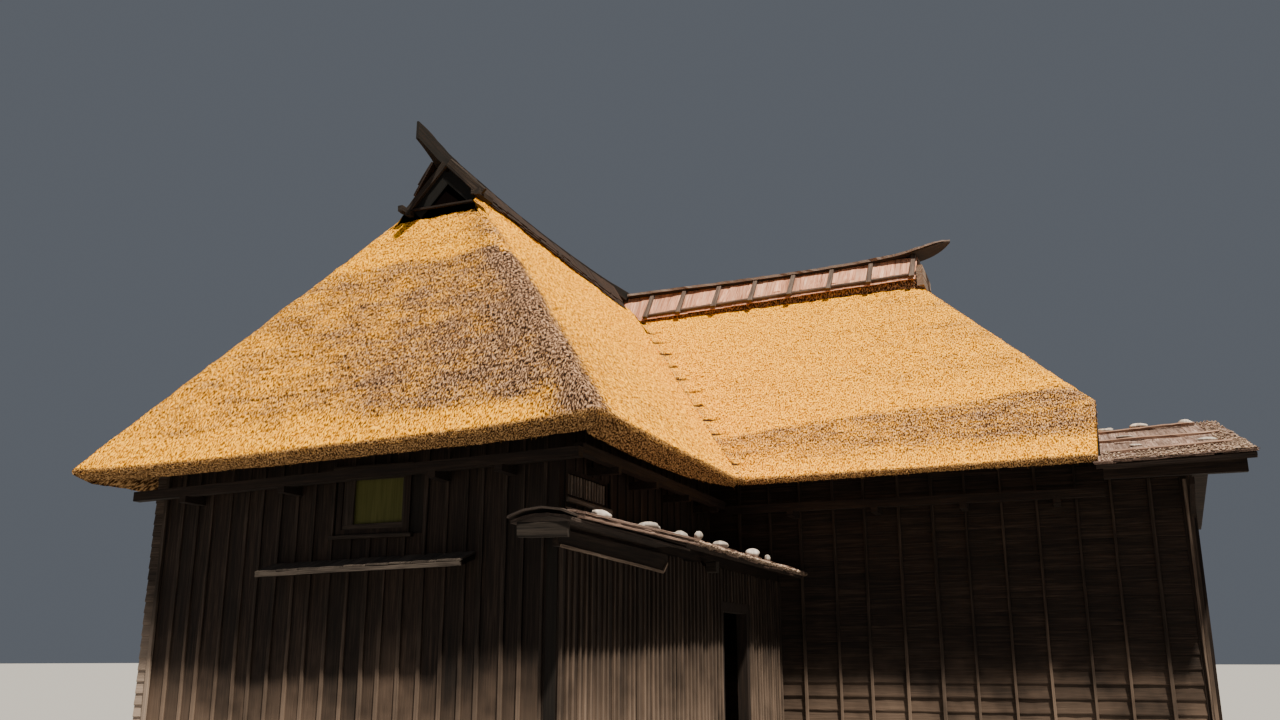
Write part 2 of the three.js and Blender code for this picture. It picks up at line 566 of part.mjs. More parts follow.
// The lean-to's roofs: the sloped one against the wing, the small ridged one on the screen wall
function leanToRoofs() {
  const edge = (x) => LEAN_TO_EAVE_Z + LEAN_TO_PITCH * (LEAN_TO_EAVE_X - x);
  const wallX = FRONT_WING_RIGHT + FIT;
  const main = [
    [wallX, edge(wallX)], [LEAN_TO_EAVE_X, LEAN_TO_EAVE_Z], [LEAN_TO_EAVE_X, LEAN_TO_EAVE_Z - BARK],
    [wallX, edge(wallX) - BARK],
  ];
  piece("lean_to_roof", alongY(main, LEAN_TO_ROOF_NEAR_Y, MAIN_FRONT - FIT), BARK_ROOF);
  const { near, left, right, eave, rise } = SCREEN_ROOF;
  const middle = (left + right) / 2;
  const ridged = [
    [left, eave - BARK], [middle, eave - BARK + rise], [right, eave - BARK], [right, eave],
    [middle, eave + rise], [left, eave],
  ];
  piece("screen_roof", alongY(ridged, near, LEAN_TO_ROOF_NEAR_Y - FIT), BARK_ROOF);
}

// The plate along the top of the lean-to wall, shaped to carry both roofs
function leanToPlate() {
  const x0 = LEAN_TO_X - WALL;
  const edge = (x) => LEAN_TO_EAVE_Z + LEAN_TO_PITCH * (LEAN_TO_EAVE_X - x) - BARK - FIT;
  const low = LEAN_TO_TOP + FIT;
  const far = alongY([[x0, low], [LEAN_TO_X, low], [LEAN_TO_X, edge(LEAN_TO_X)], [x0, edge(x0)]],
    LEAN_TO_ROOF_NEAR_Y, MAIN_FRONT - FIT);
  const middle = (SCREEN_ROOF.left + SCREEN_ROOF.right) / 2;
  const fall = SCREEN_ROOF.rise / (SCREEN_ROOF.right - middle);
  const crown = (x) => SCREEN_ROOF.eave - BARK + SCREEN_ROOF.rise - fall * Math.abs(x - middle) - FIT;
  const near = alongY([[x0, low], [LEAN_TO_X, low], [LEAN_TO_X, crown(LEAN_TO_X)], [x0, crown(x0)]],
    LEAN_TO_NEAR_Y, LEAN_TO_ROOF_NEAR_Y + FIT);
  piece("lean_to_plate", joined(far, near), DARK_WOOD);
}

// The long board that hangs on the wall under the lean-to's eave, its far lower corner rounded
function eaveBoard() {
  const { near, far, top, depth, climb, corner, thick } = EAVE_BOARD;
  const outline = new THREE.Shape();
  outline.moveTo(near, top);
  outline.lineTo(near, top - depth + climb);
  outline.lineTo(far - corner, top - depth);
  outline.absarc(far - corner, top - depth + corner, corner, -Math.PI / 2, 0, false);
  outline.lineTo(far, top);
  const geometry = new THREE.ExtrudeGeometry(outline, { depth: thick, bevelEnabled: false, curveSegments: 6 });
  const axes = new THREE.Matrix4().makeBasis(
    new THREE.Vector3(0, 1, 0), new THREE.Vector3(0, 0, 1), new THREE.Vector3(1, 0, 0));
  piece("eave_board", solid(geometry, axes.setPosition(LEAN_TO_X + FIT, 0, 0)), DARK_WOOD);
}

// The end bay's roof slabs, front and back
function endRoof() {
  const x0 = THATCH_END_X + FIT;
  const front = block(x0, END_ROOF_X, END_EAVE_Y, MAIN_RIDGE_Y, GROUND, FAR / 4);
  const back = block(x0, END_ROOF_X, MAIN_RIDGE_Y + FIT, 2 * MAIN_RIDGE_Y - END_EAVE_Y, GROUND, FAR / 4);
  piece("end_roof_front", front.intersect(endRoofPlane(1, 0)).subtract(endRoofPlane(1, BARK)), BARK_ROOF);
  piece("end_roof_back", back.intersect(endRoofPlane(-1, 0)).subtract(endRoofPlane(-1, BARK)), BARK_ROOF);
}

// Purlins of the end bay, cut to its slope, running out past the wall under the overhang
function endPurlins() {
  const reach = END_ROOF_X - END_BEAM;
  const carried = underEndRoof(FIT);
  const outer = END_BAY_RIGHT + FIT;
  const places = {
    end_front_purlin: [END_EAVE_Y + END_BEAM, END_EAVE_Y + 2 * END_BEAM, THATCH_END_X + FIT],
    end_ridge_purlin: [MAIN_RIDGE_Y - END_BEAM / 2, MAIN_RIDGE_Y + END_BEAM / 2, outer],
    end_back_purlin: [MAIN_BACK + 5 * END_BEAM, MAIN_BACK + 6 * END_BEAM, THATCH_END_X + FIT],
  };
  for (const [name, [y0, y1, x0]] of Object.entries(places)) {
    const slopeRun = Math.min(y0 - END_EAVE_Y, 2 * MAIN_RIDGE_Y - END_EAVE_Y - y1);
    const top = END_EAVE_Z + END_PITCH * Math.max(slopeRun, 0);
    const beam = block(x0, reach, y0, y1, top - BARK - 1.2 * END_BEAM, FAR / 4);
    piece(name, beam.intersect(carried), DARK_WOOD);
  }
}

// Thin struts from the end bay's corner posts out to its two eave purlins
function endStruts() {
  const x0 = END_BAY_RIGHT + POST_PROUD - POST / 2;
  const purlinIn = END_EAVE_Y + 2 * END_BEAM + FIT;
  const post = MAIN_FRONT - POST_PROUD - FIT;
  const outline = [
    [post, STRUT_FOOT_Z], [post, STRUT_FOOT_Z + 1.5 * STRUT], [purlinIn + STRUT, STRUT_HEAD_Z],
    [purlinIn, STRUT_HEAD_Z], [purlinIn, STRUT_HEAD_Z - 1.5 * STRUT],
  ];
  const mirrored = outline.map(([y, z]) => [2 * MAIN_RIDGE_Y - y, z]).reverse();
  piece("end_front_strut", alongX(outline, x0, x0 + STRUT), DARK_WOOD);
  piece("end_back_strut", alongX(mirrored, x0, x0 + STRUT), DARK_WOOD);
}

thatch();
ridgeCaps();
frontRidgePole();
mainRidgePole();
smokeGable();
cornerPosts();
walls();
upperEndWall();
frontWindow();
latticeFrame();
frontHood();
eaveBeams();
leanToWalls();
leanToRoofs();
leanToPlate();
eaveBoard();
endRoof();
endPurlins();
endStruts();

export default house;
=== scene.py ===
"""Minka farmhouse of the snow country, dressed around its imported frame.

Metres, Z up, ground at 0. X runs along the main wing and Y runs away from the front.
Every new piece is a surface worked out as whole arrays, in the frame's own coordinates.
"""
import json
import logging
import math
from dataclasses import dataclass, field, replace
from enum import Enum
from typing import Callable, Optional, Sequence, Union

import bpy
import numpy as np
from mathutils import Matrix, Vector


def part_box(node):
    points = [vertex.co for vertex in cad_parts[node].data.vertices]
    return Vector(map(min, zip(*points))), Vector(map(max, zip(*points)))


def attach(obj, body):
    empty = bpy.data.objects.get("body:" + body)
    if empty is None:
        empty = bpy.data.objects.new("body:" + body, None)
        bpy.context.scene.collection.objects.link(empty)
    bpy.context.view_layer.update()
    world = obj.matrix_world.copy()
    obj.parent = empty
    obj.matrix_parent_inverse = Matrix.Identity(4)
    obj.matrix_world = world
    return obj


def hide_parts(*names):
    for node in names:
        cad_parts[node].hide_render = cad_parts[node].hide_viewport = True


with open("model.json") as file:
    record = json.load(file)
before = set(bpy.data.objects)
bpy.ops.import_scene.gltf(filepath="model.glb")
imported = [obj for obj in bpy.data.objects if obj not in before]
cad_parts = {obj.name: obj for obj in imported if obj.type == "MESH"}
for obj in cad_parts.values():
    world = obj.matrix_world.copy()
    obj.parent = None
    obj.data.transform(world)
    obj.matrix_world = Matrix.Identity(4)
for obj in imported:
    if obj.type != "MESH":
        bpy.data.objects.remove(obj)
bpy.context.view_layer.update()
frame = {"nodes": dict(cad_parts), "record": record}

Array = np.ndarray
Colour = tuple[float, float, float]
Vector3 = tuple[float, float, float]
Socket = bpy.types.NodeSocket
Value = Union[float, Colour, Socket]
Knots = tuple[tuple[float, float], ...]

log = logging.getLogger("farmhouse")
BODY = "root"
GRAIN_MAP = "grain"
SEED = 41
OVERLAP = 0.012
FRONT_HIP = "front_hip_thatch"
MAIN_FRONT = "main_front_thatch"


def unit(vectors: Array) -> Array:
    """Vectors brought to length one along their last axis."""
    return vectors / np.linalg.norm(vectors, axis=-1, keepdims=True)


def hashed(cells: Array, seed: int) -> Array:
    """A steady random value from 0 to 1 for each whole-number cell.

    Args:
        cells: Whole numbers, shape (..., 3).
        seed: Which set of random values.
    Returns:
        Values of shape (...).
    """
    steps = np.array([73856093, 19349663, 83492791], np.int64)
    mixed = (cells.astype(np.int64) * steps).sum(-1) + seed * 2654435
    mixed = (mixed ^ (mixed >> 15)) * 2246822519 & 0xFFFFFFFF
    mixed = (mixed ^ (mixed >> 13)) * 3266489917 & 0xFFFFFFFF
    return ((mixed ^ (mixed >> 16)) & 0xFFFFFF) / float(0xFFFFFF)


def noise(points: Array, cell: Union[float, Vector3], seed: int) -> Array:
    """Smooth noise from -1 to 1: eight cell corners' random values, blended by smooth weights.

    Args:
        points: Places, shape (..., 3).
        cell: Size of a noise cell, one number or one for each axis.
        seed: Which noise.
    Returns:
        Values of shape (...).
    """
    scaled = points / np.asarray(cell, float)
    base = np.floor(scaled).astype(np.int64)
    part = scaled - base
    weight = part * part * (3 - 2 * part)
    total = np.zeros(points.shape[:-1])
    for corner in np.ndindex(2, 2, 2):
        share = np.prod(np.where(np.array(corner) == 1, weight, 1 - weight), axis=-1)
        total += share * hashed(base + np.array(corner), seed)
    return 2 * total - 1


def layered(points: Array, cell: float, seed: int, layers: int = 3) -> Array:
    """Noise summed over layers, each half the size and half the strength of the one before.

    Args:
        points: Places, shape (..., 3).
        cell: Size of the first layer's cells.
        seed: Which noise.
        layers: How many layers.
    Returns:
        Values from -1 to 1, shape (...).
    """
    scale = 0.5 ** np.arange(layers)
    values = [noise(points, cell * s, seed + i) * s for i, s in enumerate(scale)]
    return np.sum(values, axis=0) / scale.sum()


def shaken(points: Array, cell: Union[float, Vector3], seed: int) -> Array:
    """Noise of its own for X, Y and Z, shape (..., 3)."""
    return np.stack([noise(points, cell, seed + axis) for axis in range(3)], -1)


def places(x: Array, y: Array, z: Array) -> Array:
    """Points from coordinates that are arrays or single numbers, shape (..., 3)."""
    return np.stack(np.broadcast_arrays(*(np.asarray(value, float) for value in (x, y, z))), -1)


def climbing(value: Array, reach: float) -> Array:
    """A smooth climb from 0 below zero to 1 above it: one over one plus e to the -3 value / reach."""
    return 1 / (1 + np.exp(-np.clip(value / reach * 3, -30, 30)))


@dataclass
class Surface:
    """Vertices, faces and values of a mesh in the making.

    Attributes:
        points: Vertices, shape (n, 3).
        polygons: Arrays of vertex numbers, each of shape (m, corners).
        run: Place on the piece's own map in metres, shape (n, 2).
        values: Named values at the vertices, each of shape (n,).
    """

    points: Array
    polygons: list[Array]
    run: Array
    values: dict[str, Array] = field(default_factory=dict)


def grid_faces(rows: int, columns: int, wrap_rows: bool = False, wrap_columns: bool = False) -> Array:
    """Four-cornered faces of a grid of points, row after row.

    Args:
        rows: Number of rows of points.
        columns: Number of points in a row.
        wrap_rows: Whether the last row joins the first.
        wrap_columns: Whether the last column joins the first.
    Returns:
        Vertex numbers, shape (faces, 4).
    """
    row = np.arange(rows if wrap_rows else rows - 1)[:, None]
    column = np.arange(columns if wrap_columns else columns - 1)[None, :]
    above = (row + 1) % rows
    beside = (column + 1) % columns
    first, second = row * columns, above * columns
    corners = [first + column, first + beside, second + beside, second + column]
    return np.stack(np.broadcast_arrays(*corners), -1).reshape(-1, 4)


def loft(rings: Array, seed: int, values: Optional[dict[str, Array]] = None) -> Surface:
    """Closed bodies, each a tube through its rings with both ends shut.

    A ring runs anticlockwise seen from ahead of the path. Bodies whose rings run the other way
    have their faces turned, so that all faces point out.

    Args:
        rings: Points, shape (bodies, stations, ring points, 3).
        seed: Random offset of each body's grain, and its random tone.
        values: More named values, one for each body.
    Returns:
        All bodies as one surface.
    """
    bodies, stations, count, _ = rings.shape
    random = np.random.default_rng(seed)
    middles = rings.mean(axis=2)
    travel = middles[:, -1] - middles[:, 0]
    spokes = rings - middles[:, :, None]
    turning = np.cross(spokes, np.roll(spokes, -1, axis=2)).sum(axis=(1, 2))
    inside_out = (turning * travel).sum(-1) < 0
    faces = grid_faces(stations, count, wrap_columns=True)
    starts = np.arange(bodies) * stations * count
    sides = faces[None] + starts[:, None, None]
    ring = np.arange(count)
    first = ring[::-1][None] + starts[:, None]
    last = ring[None] + (starts + (stations - 1) * count)[:, None]
    for block in (sides, first, last):
        block[inside_out] = block[inside_out][..., ::-1]
    along = np.linalg.norm(np.diff(middles, axis=1), axis=-1).cumsum(axis=1)
    along = np.concatenate([np.zeros((bodies, 1)), along], axis=1)
    edge = np.linalg.norm(np.roll(rings, -1, axis=2) - rings, axis=-1).mean(axis=1)
    round_it = np.concatenate([np.zeros((bodies, 1)), edge.cumsum(axis=1)[:, :-1]], axis=1)
    shift = random.uniform(0, 40, (bodies, 2))
    run = np.stack(np.broadcast_arrays(
        along[:, :, None] + shift[:, 0, None, None], round_it[:, None, :] + shift[:, 1, None, None]), -1)
    each = {"tone": random.uniform(0, 1, bodies), **(values or {})}
    spread = {name: np.repeat(value, stations * count) for name, value in each.items()}
    return Surface(rings.reshape(-1, 3), [sides.reshape(-1, 4), first, last], run.reshape(-1, 2), spread)


class Profile(Enum):
    """Cross-sections of straight members, as points across and outwards from -1/2 to 1/2."""

    SAWN = ((-0.5, -0.5), (0.5, -0.5), (0.5, 0.38), (0.42, 0.5), (-0.42, 0.5), (-0.5, 0.38))
    LAPPED = ((-0.5, -0.5), (0.5, -0.5), (0.5, -0.2), (-0.44, 0.5), (-0.5, 0.42))
    ROUND = tuple((0.5 * math.cos(a), 0.5 * math.sin(a)) for a in np.linspace(0, 2 * math.pi, 9)[:-1])


@dataclass
class Members:
    """Straight members made together, such as boards, battens or poles.

    A vertex is start + (end - start) s + across p + out q at station s and profile point (p, q),
    moved by smooth noise that bows the member, and by fine noise that roughens it.

    Attributes:
        start: First ends of the middle lines, shape (n, 3) or (3,).
        end: Second ends, of the same shape.
        across: Full width as a vector, shape (n, 3) or (3,).
        out: Full thickness as a vector, shape (n, 3) or (3,).
        stations: Number of rings on each member.
        bow: Reach of the smooth bend in metres.
        rough: Reach of the roughness in metres.
        seed: Which random values.
        taper: Width at the end for a width of one at the start.
        profile: The cross-section.
    """

    start: Array
    end: Array
    across: Array
    out: Array
    stations: int = 5
    bow: float = 0.004
    rough: float = 0.0015
    seed: int = SEED
    taper: float = 1.0
    profile: Profile = Profile.SAWN

    def surface(self) -> Surface:
        """All the members as one surface."""
        start, end = (np.atleast_2d(np.asarray(ends, float)) for ends in (self.start, self.end))
        count = len(start)
        across = np.broadcast_to(np.asarray(self.across, float), (count, 3))
        out = np.broadcast_to(np.asarray(self.out, float), (count, 3))
        outline = np.array(self.profile.value)
        step = np.linspace(0, 1, self.stations)
        centre = start[:, None] + (end - start)[:, None] * step[None, :, None]
        own = hashed(np.stack([np.arange(count)] * 3, -1), self.seed)[:, None, None] * 90
        bend = np.stack([noise(centre + own, 0.9, self.seed + 1 + way) for way in range(2)], -1)
        moved = self.bow * (bend[..., :1] * unit(across)[:, None] + bend[..., 1:] * unit(out)[:, None])
        section = across[:, None] * outline[None, :, :1] + out[:, None] * outline[None, :, 1:]
        size = (1 + (self.taper - 1) * step)[None, :, None, None]
        rings = (centre + moved)[:, :, None] + section[:, None] * size
        return loft(rings + self.rough * shaken(rings + own[..., None], 0.05, self.seed + 3), self.seed)


@dataclass
class Stones:
    """Rounded bodies, each a squashed ball with lumps.

    A ring at angle a from the lower pole has radius sin a, and the whole is scaled, turned about
    Z and pushed out by smooth noise.

    Attributes:
        centres: Middles, shape (n, 3).
        sizes: Half lengths along X, Y and Z, shape (n, 3).
        turns: Turn of each about Z in radians, shape (n,).
        stations: Rings on each.
        count: Points in a ring.
        lumps: Share of the size that the lumps reach.
        seed: Which random values.
    """

    centres: Array
    sizes: Array
    turns: Array
    stations: int = 9
    count: int = 14
    lumps: float = 0.16
    seed: int = SEED

    def surface(self) -> Surface:
        """All the stones as one surface."""
        angle = np.linspace(0.12, math.pi - 0.12, self.stations)[:, None]
        around = np.linspace(0, 2 * math.pi, self.count, endpoint=False)[None, :]
        ball = np.stack(np.broadcast_arrays(
            np.sin(angle) * np.cos(around), np.sin(angle) * np.sin(around), -np.cos(angle)), -1)
        own = np.arange(len(self.centres))[:, None, None, None] * 7.3
        push = 1 + self.lumps * layered(ball[None] + own, 0.9, self.seed, 2)
        body = ball[None] * push[..., None] * np.asarray(self.sizes)[:, None, None]
        cos, sin = np.cos(self.turns)[:, None, None], np.sin(self.turns)[:, None, None]
        turned = np.stack([body[..., 0] * cos - body[..., 1] * sin,
                           body[..., 0] * sin + body[..., 1] * cos, body[..., 2]], -1)
        return loft(turned + np.asarray(self.centres)[:, None, None], self.seed)


def straws(roots: Array, tips: Array, width: float, seed: int) -> Surface:
    """Straw stubs, each a slim closed pyramid of four triangles from its root to its tip.

    Args:
        roots: Middles of the bases, shape (n, 3).
        tips: Points, shape (n, 3).
        width: Width at the base.
        seed: Random tone of each.
    Returns:
        All stubs as one surface.
    """
    random = np.random.default_rng(seed)
    along = unit(tips - roots)
    side = unit(np.cross(along, random.normal(size=along.shape)))
    third = np.cross(along, side)
    turns = np.arange(3) * 2 * math.pi / 3
    base = roots[:, None] + width / 2 * (
        np.cos(turns)[None, :, None] * side[:, None] + np.sin(turns)[None, :, None] * third[:, None])
    points = np.concatenate([base, tips[:, None]], axis=1)
    faces = np.array([[0, 2, 1], [0, 1, 3], [1, 2, 3], [2, 0, 3]])
    polygons = faces[None] + 4 * np.arange(len(roots))[:, None, None]
    tone = np.repeat(random.uniform(0, 1, len(roots)), 4)
    length = np.linalg.norm(tips - roots, axis=-1)
    run = np.zeros((len(roots), 4, 2))
    run[:, 3, 0] = length
    return Surface(points.reshape(-1, 3), [polygons.reshape(-1, 3)], run.reshape(-1, 2) + tone[:, None] * 30,
                   {"tone": tone})


Shape = Union[Surface, Members, Stones]


def build(name: str, shapes: Sequence[Shape], finish: str, replaced: Sequence[str] = (),
          smooth: bool = False) -> None:
    """Makes one piece from shapes, dresses it and lets it ride on the house.

    Args:
        name: The piece's name.
        shapes: Its surfaces, or what makes them, joined in this order.
        finish: Name of its finish.
        replaced: Nodes of the frame that it stands for.
        smooth: Whether it is shaded smooth.
    """
    surfaces = [shape if isinstance(shape, Surface) else shape.surface() for shape in shapes]
    starts = np.cumsum([0] + [len(s.points) for s in surfaces])
    points = np.concatenate([s.points for s in surfaces])
    run = np.concatenate([s.run for s in surfaces])
    blocks = [p + start for s, start in zip(surfaces, starts) for p in s.polygons]
    corners = np.concatenate([b.ravel() for b in blocks]).astype(np.int32)
    totals = np.concatenate([np.full(len(b), b.shape[1]) for b in blocks])
    mesh = bpy.data.meshes.new(name)
    mesh.vertices.add(len(points))
    mesh.vertices.foreach_set("co", points.astype(np.float32).ravel())
    mesh.loops.add(len(corners))
    mesh.loops.foreach_set("vertex_index", corners)
    mesh.polygons.add(len(totals))
    mesh.polygons.foreach_set("loop_start", np.concatenate([[0], np.cumsum(totals)[:-1]]).astype(np.int32))
    mesh.polygons.foreach_set("use_smooth", np.full(len(totals), smooth))
    mesh.update(calc_edges=True)
    layer = mesh.uv_layers.new(name=GRAIN_MAP)
    layer.data.foreach_set("uv", run[corners].astype(np.float32).ravel())
    for key in sorted({key for s in surfaces for key in s.values}):
        held = [s.values.get(key, np.zeros(len(s.points))) for s in surfaces]
        attribute = mesh.attributes.new(key, "FLOAT", "POINT")
        attribute.data.foreach_set("value", np.concatenate(held).astype(np.float32))
    piece = bpy.data.objects.new(name, mesh)
    bpy.context.scene.collection.objects.link(piece)
    mesh.materials.append(FINISHES[finish].material())
    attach(piece, BODY)
    if replaced:
        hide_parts(*replaced)
    log.info("%s: %d triangles", name, int((totals - 2).sum()))


class Grain(Enum):
    """Where a finish takes its grain from: the piece's own map, or an axis of the house."""

    MAP = "map"
    ALONG_X = "x"
    ALONG_Y = "y"
    ALONG_Z = "z"


class Graph:
    """The shader nodes of one material, with short ways to add and join them."""

    def __init__(self, name: str) -> None:
        """Starts an empty material with a principled shader.

        Args:
            name: The material's name.
        """
        self.material = bpy.data.materials.new(name)
        self.material.use_nodes = True
        self.nodes = self.material.node_tree.nodes
        self.nodes.clear()
        self.shader = self.add("ShaderNodeBsdfPrincipled")
        self.add("ShaderNodeOutputMaterial", Surface=self.shader.outputs["BSDF"])

    def put(self, socket: Socket, value: Value) -> None:
        """Joins a socket to another one, or sets it to a number or colour.

        Args:
            socket: The input.
            value: What it gets.
        """
        if isinstance(value, bpy.types.NodeSocket):
            self.material.node_tree.links.new(value, socket)
        else:
            socket.default_value = (*value, 1.0) if socket.type == "RGBA" else value

    def add(self, kind: str, **inputs: Value) -> bpy.types.Node:
        """A new node with its inputs joined or set.

        Args:
            kind: Blender's name for the kind of node.
            **inputs: What each input gets, named with underscores for spaces.
        Returns:
            The node.
        """
        node = self.nodes.new(kind)
        for name, value in inputs.items():
            self.put(node.inputs[name.replace("_", " ")], value)
        return node

    def place(self) -> Socket:
        """The coordinates of the house itself."""
        return self.add("ShaderNodeTexCoord").outputs["Object"]

    def noise(self, vector: Socket, scale: float, detail: float = 3.0, rough: float = 0.55,
              twist: float = 0.0) -> Socket:
        """Noise from 0 to 1 at the given coordinates.

        Args:
            vector: The coordinates.
            scale: How many cells a metre holds.
            detail: How many finer layers it has.
            rough: How strong they are.
            twist: How far it is distorted.
        Returns:
            The noise.
        """
        return self.add("ShaderNodeTexNoise", Vector=vector, Scale=scale, Detail=detail, Roughness=rough,
                        Distortion=twist).outputs["Fac"]

    def grained(self, grain: Grain, along: float, across: float, detail: float, rough: float,
                twist: float = 0.0) -> Socket:
        """Noise that is drawn out along the grain.

        Args:
            grain: Which way the grain runs.
            along: Scale along the grain.
            across: Scale across it.
            detail: How many finer layers it has.
            rough: How strong they are.
            twist: How far it is distorted.
        Returns:
            The noise, from 0 to 1.
        """
        if grain is Grain.MAP:
            source = self.add("ShaderNodeUVMap")
            source.uv_map = GRAIN_MAP
            base, scale = source.outputs["UV"], (along, across, across)
        else:
            base, scale = self.place(), tuple(along if grain.value == axis else across for axis in "xyz")
        mapping = self.add("ShaderNodeMapping", Vector=base, Scale=scale)
        return self.noise(mapping.outputs["Vector"], 1.0, detail, rough, twist)

    def held(self, name: str) -> Socket:
        """A named value that the mesh holds at its vertices."""
        node = self.add("ShaderNodeAttribute")
        node.attribute_name = name
        return node.outputs["Fac"]

    def maths(self, operation: str, *values: Value) -> Socket:
        """The outcome of a math node for its values.

        Args:
            operation: Blender's name for the operation.
            *values: What it works on, two or three values.
        Returns:
            The outcome.
        """
        node = self.add("ShaderNodeMath")
        node.operation = operation
        for socket, value in zip(node.inputs, values):
            self.put(socket, value)
        return node.outputs[0]

    def fade(self, value: Socket, low: float, high: float) -> Socket:
        """A smooth climb from 0 at low to 1 at high, which may also run downwards.

        Args:
            value: What climbs.
            low: Where the climb starts.
            high: Where it ends.
        Returns:
            The climb, from 0 to 1.
        """
        node = self.add("ShaderNodeMapRange", Value=value, From_Min=low, From_Max=high)
        node.interpolation_type = "SMOOTHSTEP"
        return node.outputs["Result"]

    def ramp(self, value: Socket, *stops: tuple[float, Colour]) -> Socket:
        """Colours between stops, each a place from 0 to 1 and a colour.

        Args:
            value: The place.
            *stops: The stops, with rising places.
        Returns:
            The colour at the place.
        """
        node = self.add("ShaderNodeValToRGB", Fac=value)
        elements = node.color_ramp.elements
        for element, (place, colour) in zip(elements, (stops[0], stops[-1])):
            element.position, element.color = place, (*colour, 1)
        for place, colour in stops[1:-1]:
            elements.new(place).color = (*colour, 1)
        return node.outputs["Color"]

    def mix(self, share: Value, first: Value, second: Value, mode: str = "MIX") -> Socket:
        """Two colours mixed, or blended in another mode, by a share from 0 to 1.

        Args:
            share: Share of the second colour.
            first: The first colour.
            second: The second colour.
            mode: Blender's name for the way of blending.
        Returns:
            The mixed colour.
        """
        node = self.add("ShaderNodeMix")
        node.data_type = "RGBA"
        node.blend_type = mode
        colours = [socket for socket in node.inputs if socket.type == "RGBA"]
        for socket, value in zip((node.inputs["Factor"], *colours), (share, first, second)):
            self.put(socket, value)
        return next(socket for socket in node.outputs if socket.type == "RGBA")

    def dress(self, colour: Value, roughness: float, height: Optional[Socket] = None, strength: float = 0.6,
              distance: float = 0.006, shine: float = 0.25) -> bpy.types.Material:
        """Sets the shader's values and gives the material.

        Args:
            colour: Its colour.
            roughness: Its roughness.
            height: The height that bends its normal.
            strength: How strongly the height counts.
            distance: How high a height of one is, in metres.
            shine: How much it mirrors.
        Returns:
            The material.
        """
        for name, value in (("Base Color", colour), ("Roughness", roughness), ("Specular IOR Level", shine)):
            self.put(self.shader.inputs[name], value)
        if height is not None:
            bump = self.add("ShaderNodeBump", Strength=strength, Distance=distance, Height=height)
            self.put(self.shader.inputs["Normal"], bump.outputs["Normal"])
        return self.material


@dataclass(frozen=True)
class Timber:
    """Old timber or bark with long grain, knots of dirt, and a paler foot, partly weathered and partly
    painted sunlight.

    Attributes:
        name: The finish's name.
        dark: Colour in the grain's furrows.
        middle: Colour of most of the wood.
        pale: Colour of worn fibres.
        weathered: Colour of the paler foot near the ground: rain-bleached wood, partly painted sunlight below
            the eaves' shade.
        bleach_and_light: How far the paler foot colour takes over, from 0 to 1.
        bleach_and_light_top: Height where the bleaching and painted sunlight end.
        roughness: Roughness of the surface.
    """

    name: str
    dark: Colour
    middle: Colour
    pale: Colour
    weathered: Colour = (0.24, 0.19, 0.15)
    bleach_and_light: float = 0.0
    bleach_and_light_top: float = 2.2
    roughness: float = 0.85

    def material(self, grain: Grain = Grain.MAP) -> bpy.types.Material:
        """The finish as a material.

        Args:
            grain: Which way the grain runs.
        Returns:
            The material, made once for each way of the grain.
        """
        name = f"{self.name}_{grain.value}"
        if name in bpy.data.materials:
            return bpy.data.materials[name]
        graph = Graph(name)
        maths = graph.maths
        fibre = graph.grained(grain, 2.2, 55.0, 5.0, 0.62, 0.6)
        furrow = graph.grained(grain, 0.8, 16.0, 3.0, 0.55, 0.4)
        patch = graph.noise(graph.place(), 1.3, 3.0, 0.6)
        streak = maths("MULTIPLY_ADD", fibre, 0.65, maths("MULTIPLY", furrow, 0.4))
        wood = graph.ramp(streak, (0.36, self.dark), (0.52, self.middle), (0.72, self.pale))
        height = graph.add("ShaderNodeSeparateXYZ", Vector=graph.place()).outputs["Z"]
        # The paler foot near the ground: partly rain-bleaching, partly painted sunlight below the eaves'
        # shade.
        low = graph.fade(maths("ADD", height, maths("MULTIPLY", patch, 1.6)),
                         self.bleach_and_light_top + 1.4, self.bleach_and_light_top - 0.4)
        washed_and_lit = graph.mix(maths("MULTIPLY", low, self.bleach_and_light), wood,
                           graph.mix(streak, tuple(0.45 * c for c in self.weathered), self.weathered))
        tones = graph.ramp(graph.held("tone"), (0.0, (0.45, 0.42, 0.40)), (1.0, (1.25, 1.2, 1.15)))
        toned = graph.mix(0.55, washed_and_lit, tones, "MULTIPLY")
        dirt = graph.mix(maths("MULTIPLY", graph.fade(patch, 0.45, 0.75), 0.4), toned, self.dark)
        return graph.dress(dirt, self.roughness, maths("ADD", fibre, maths("MULTIPLY", furrow, 0.8)))


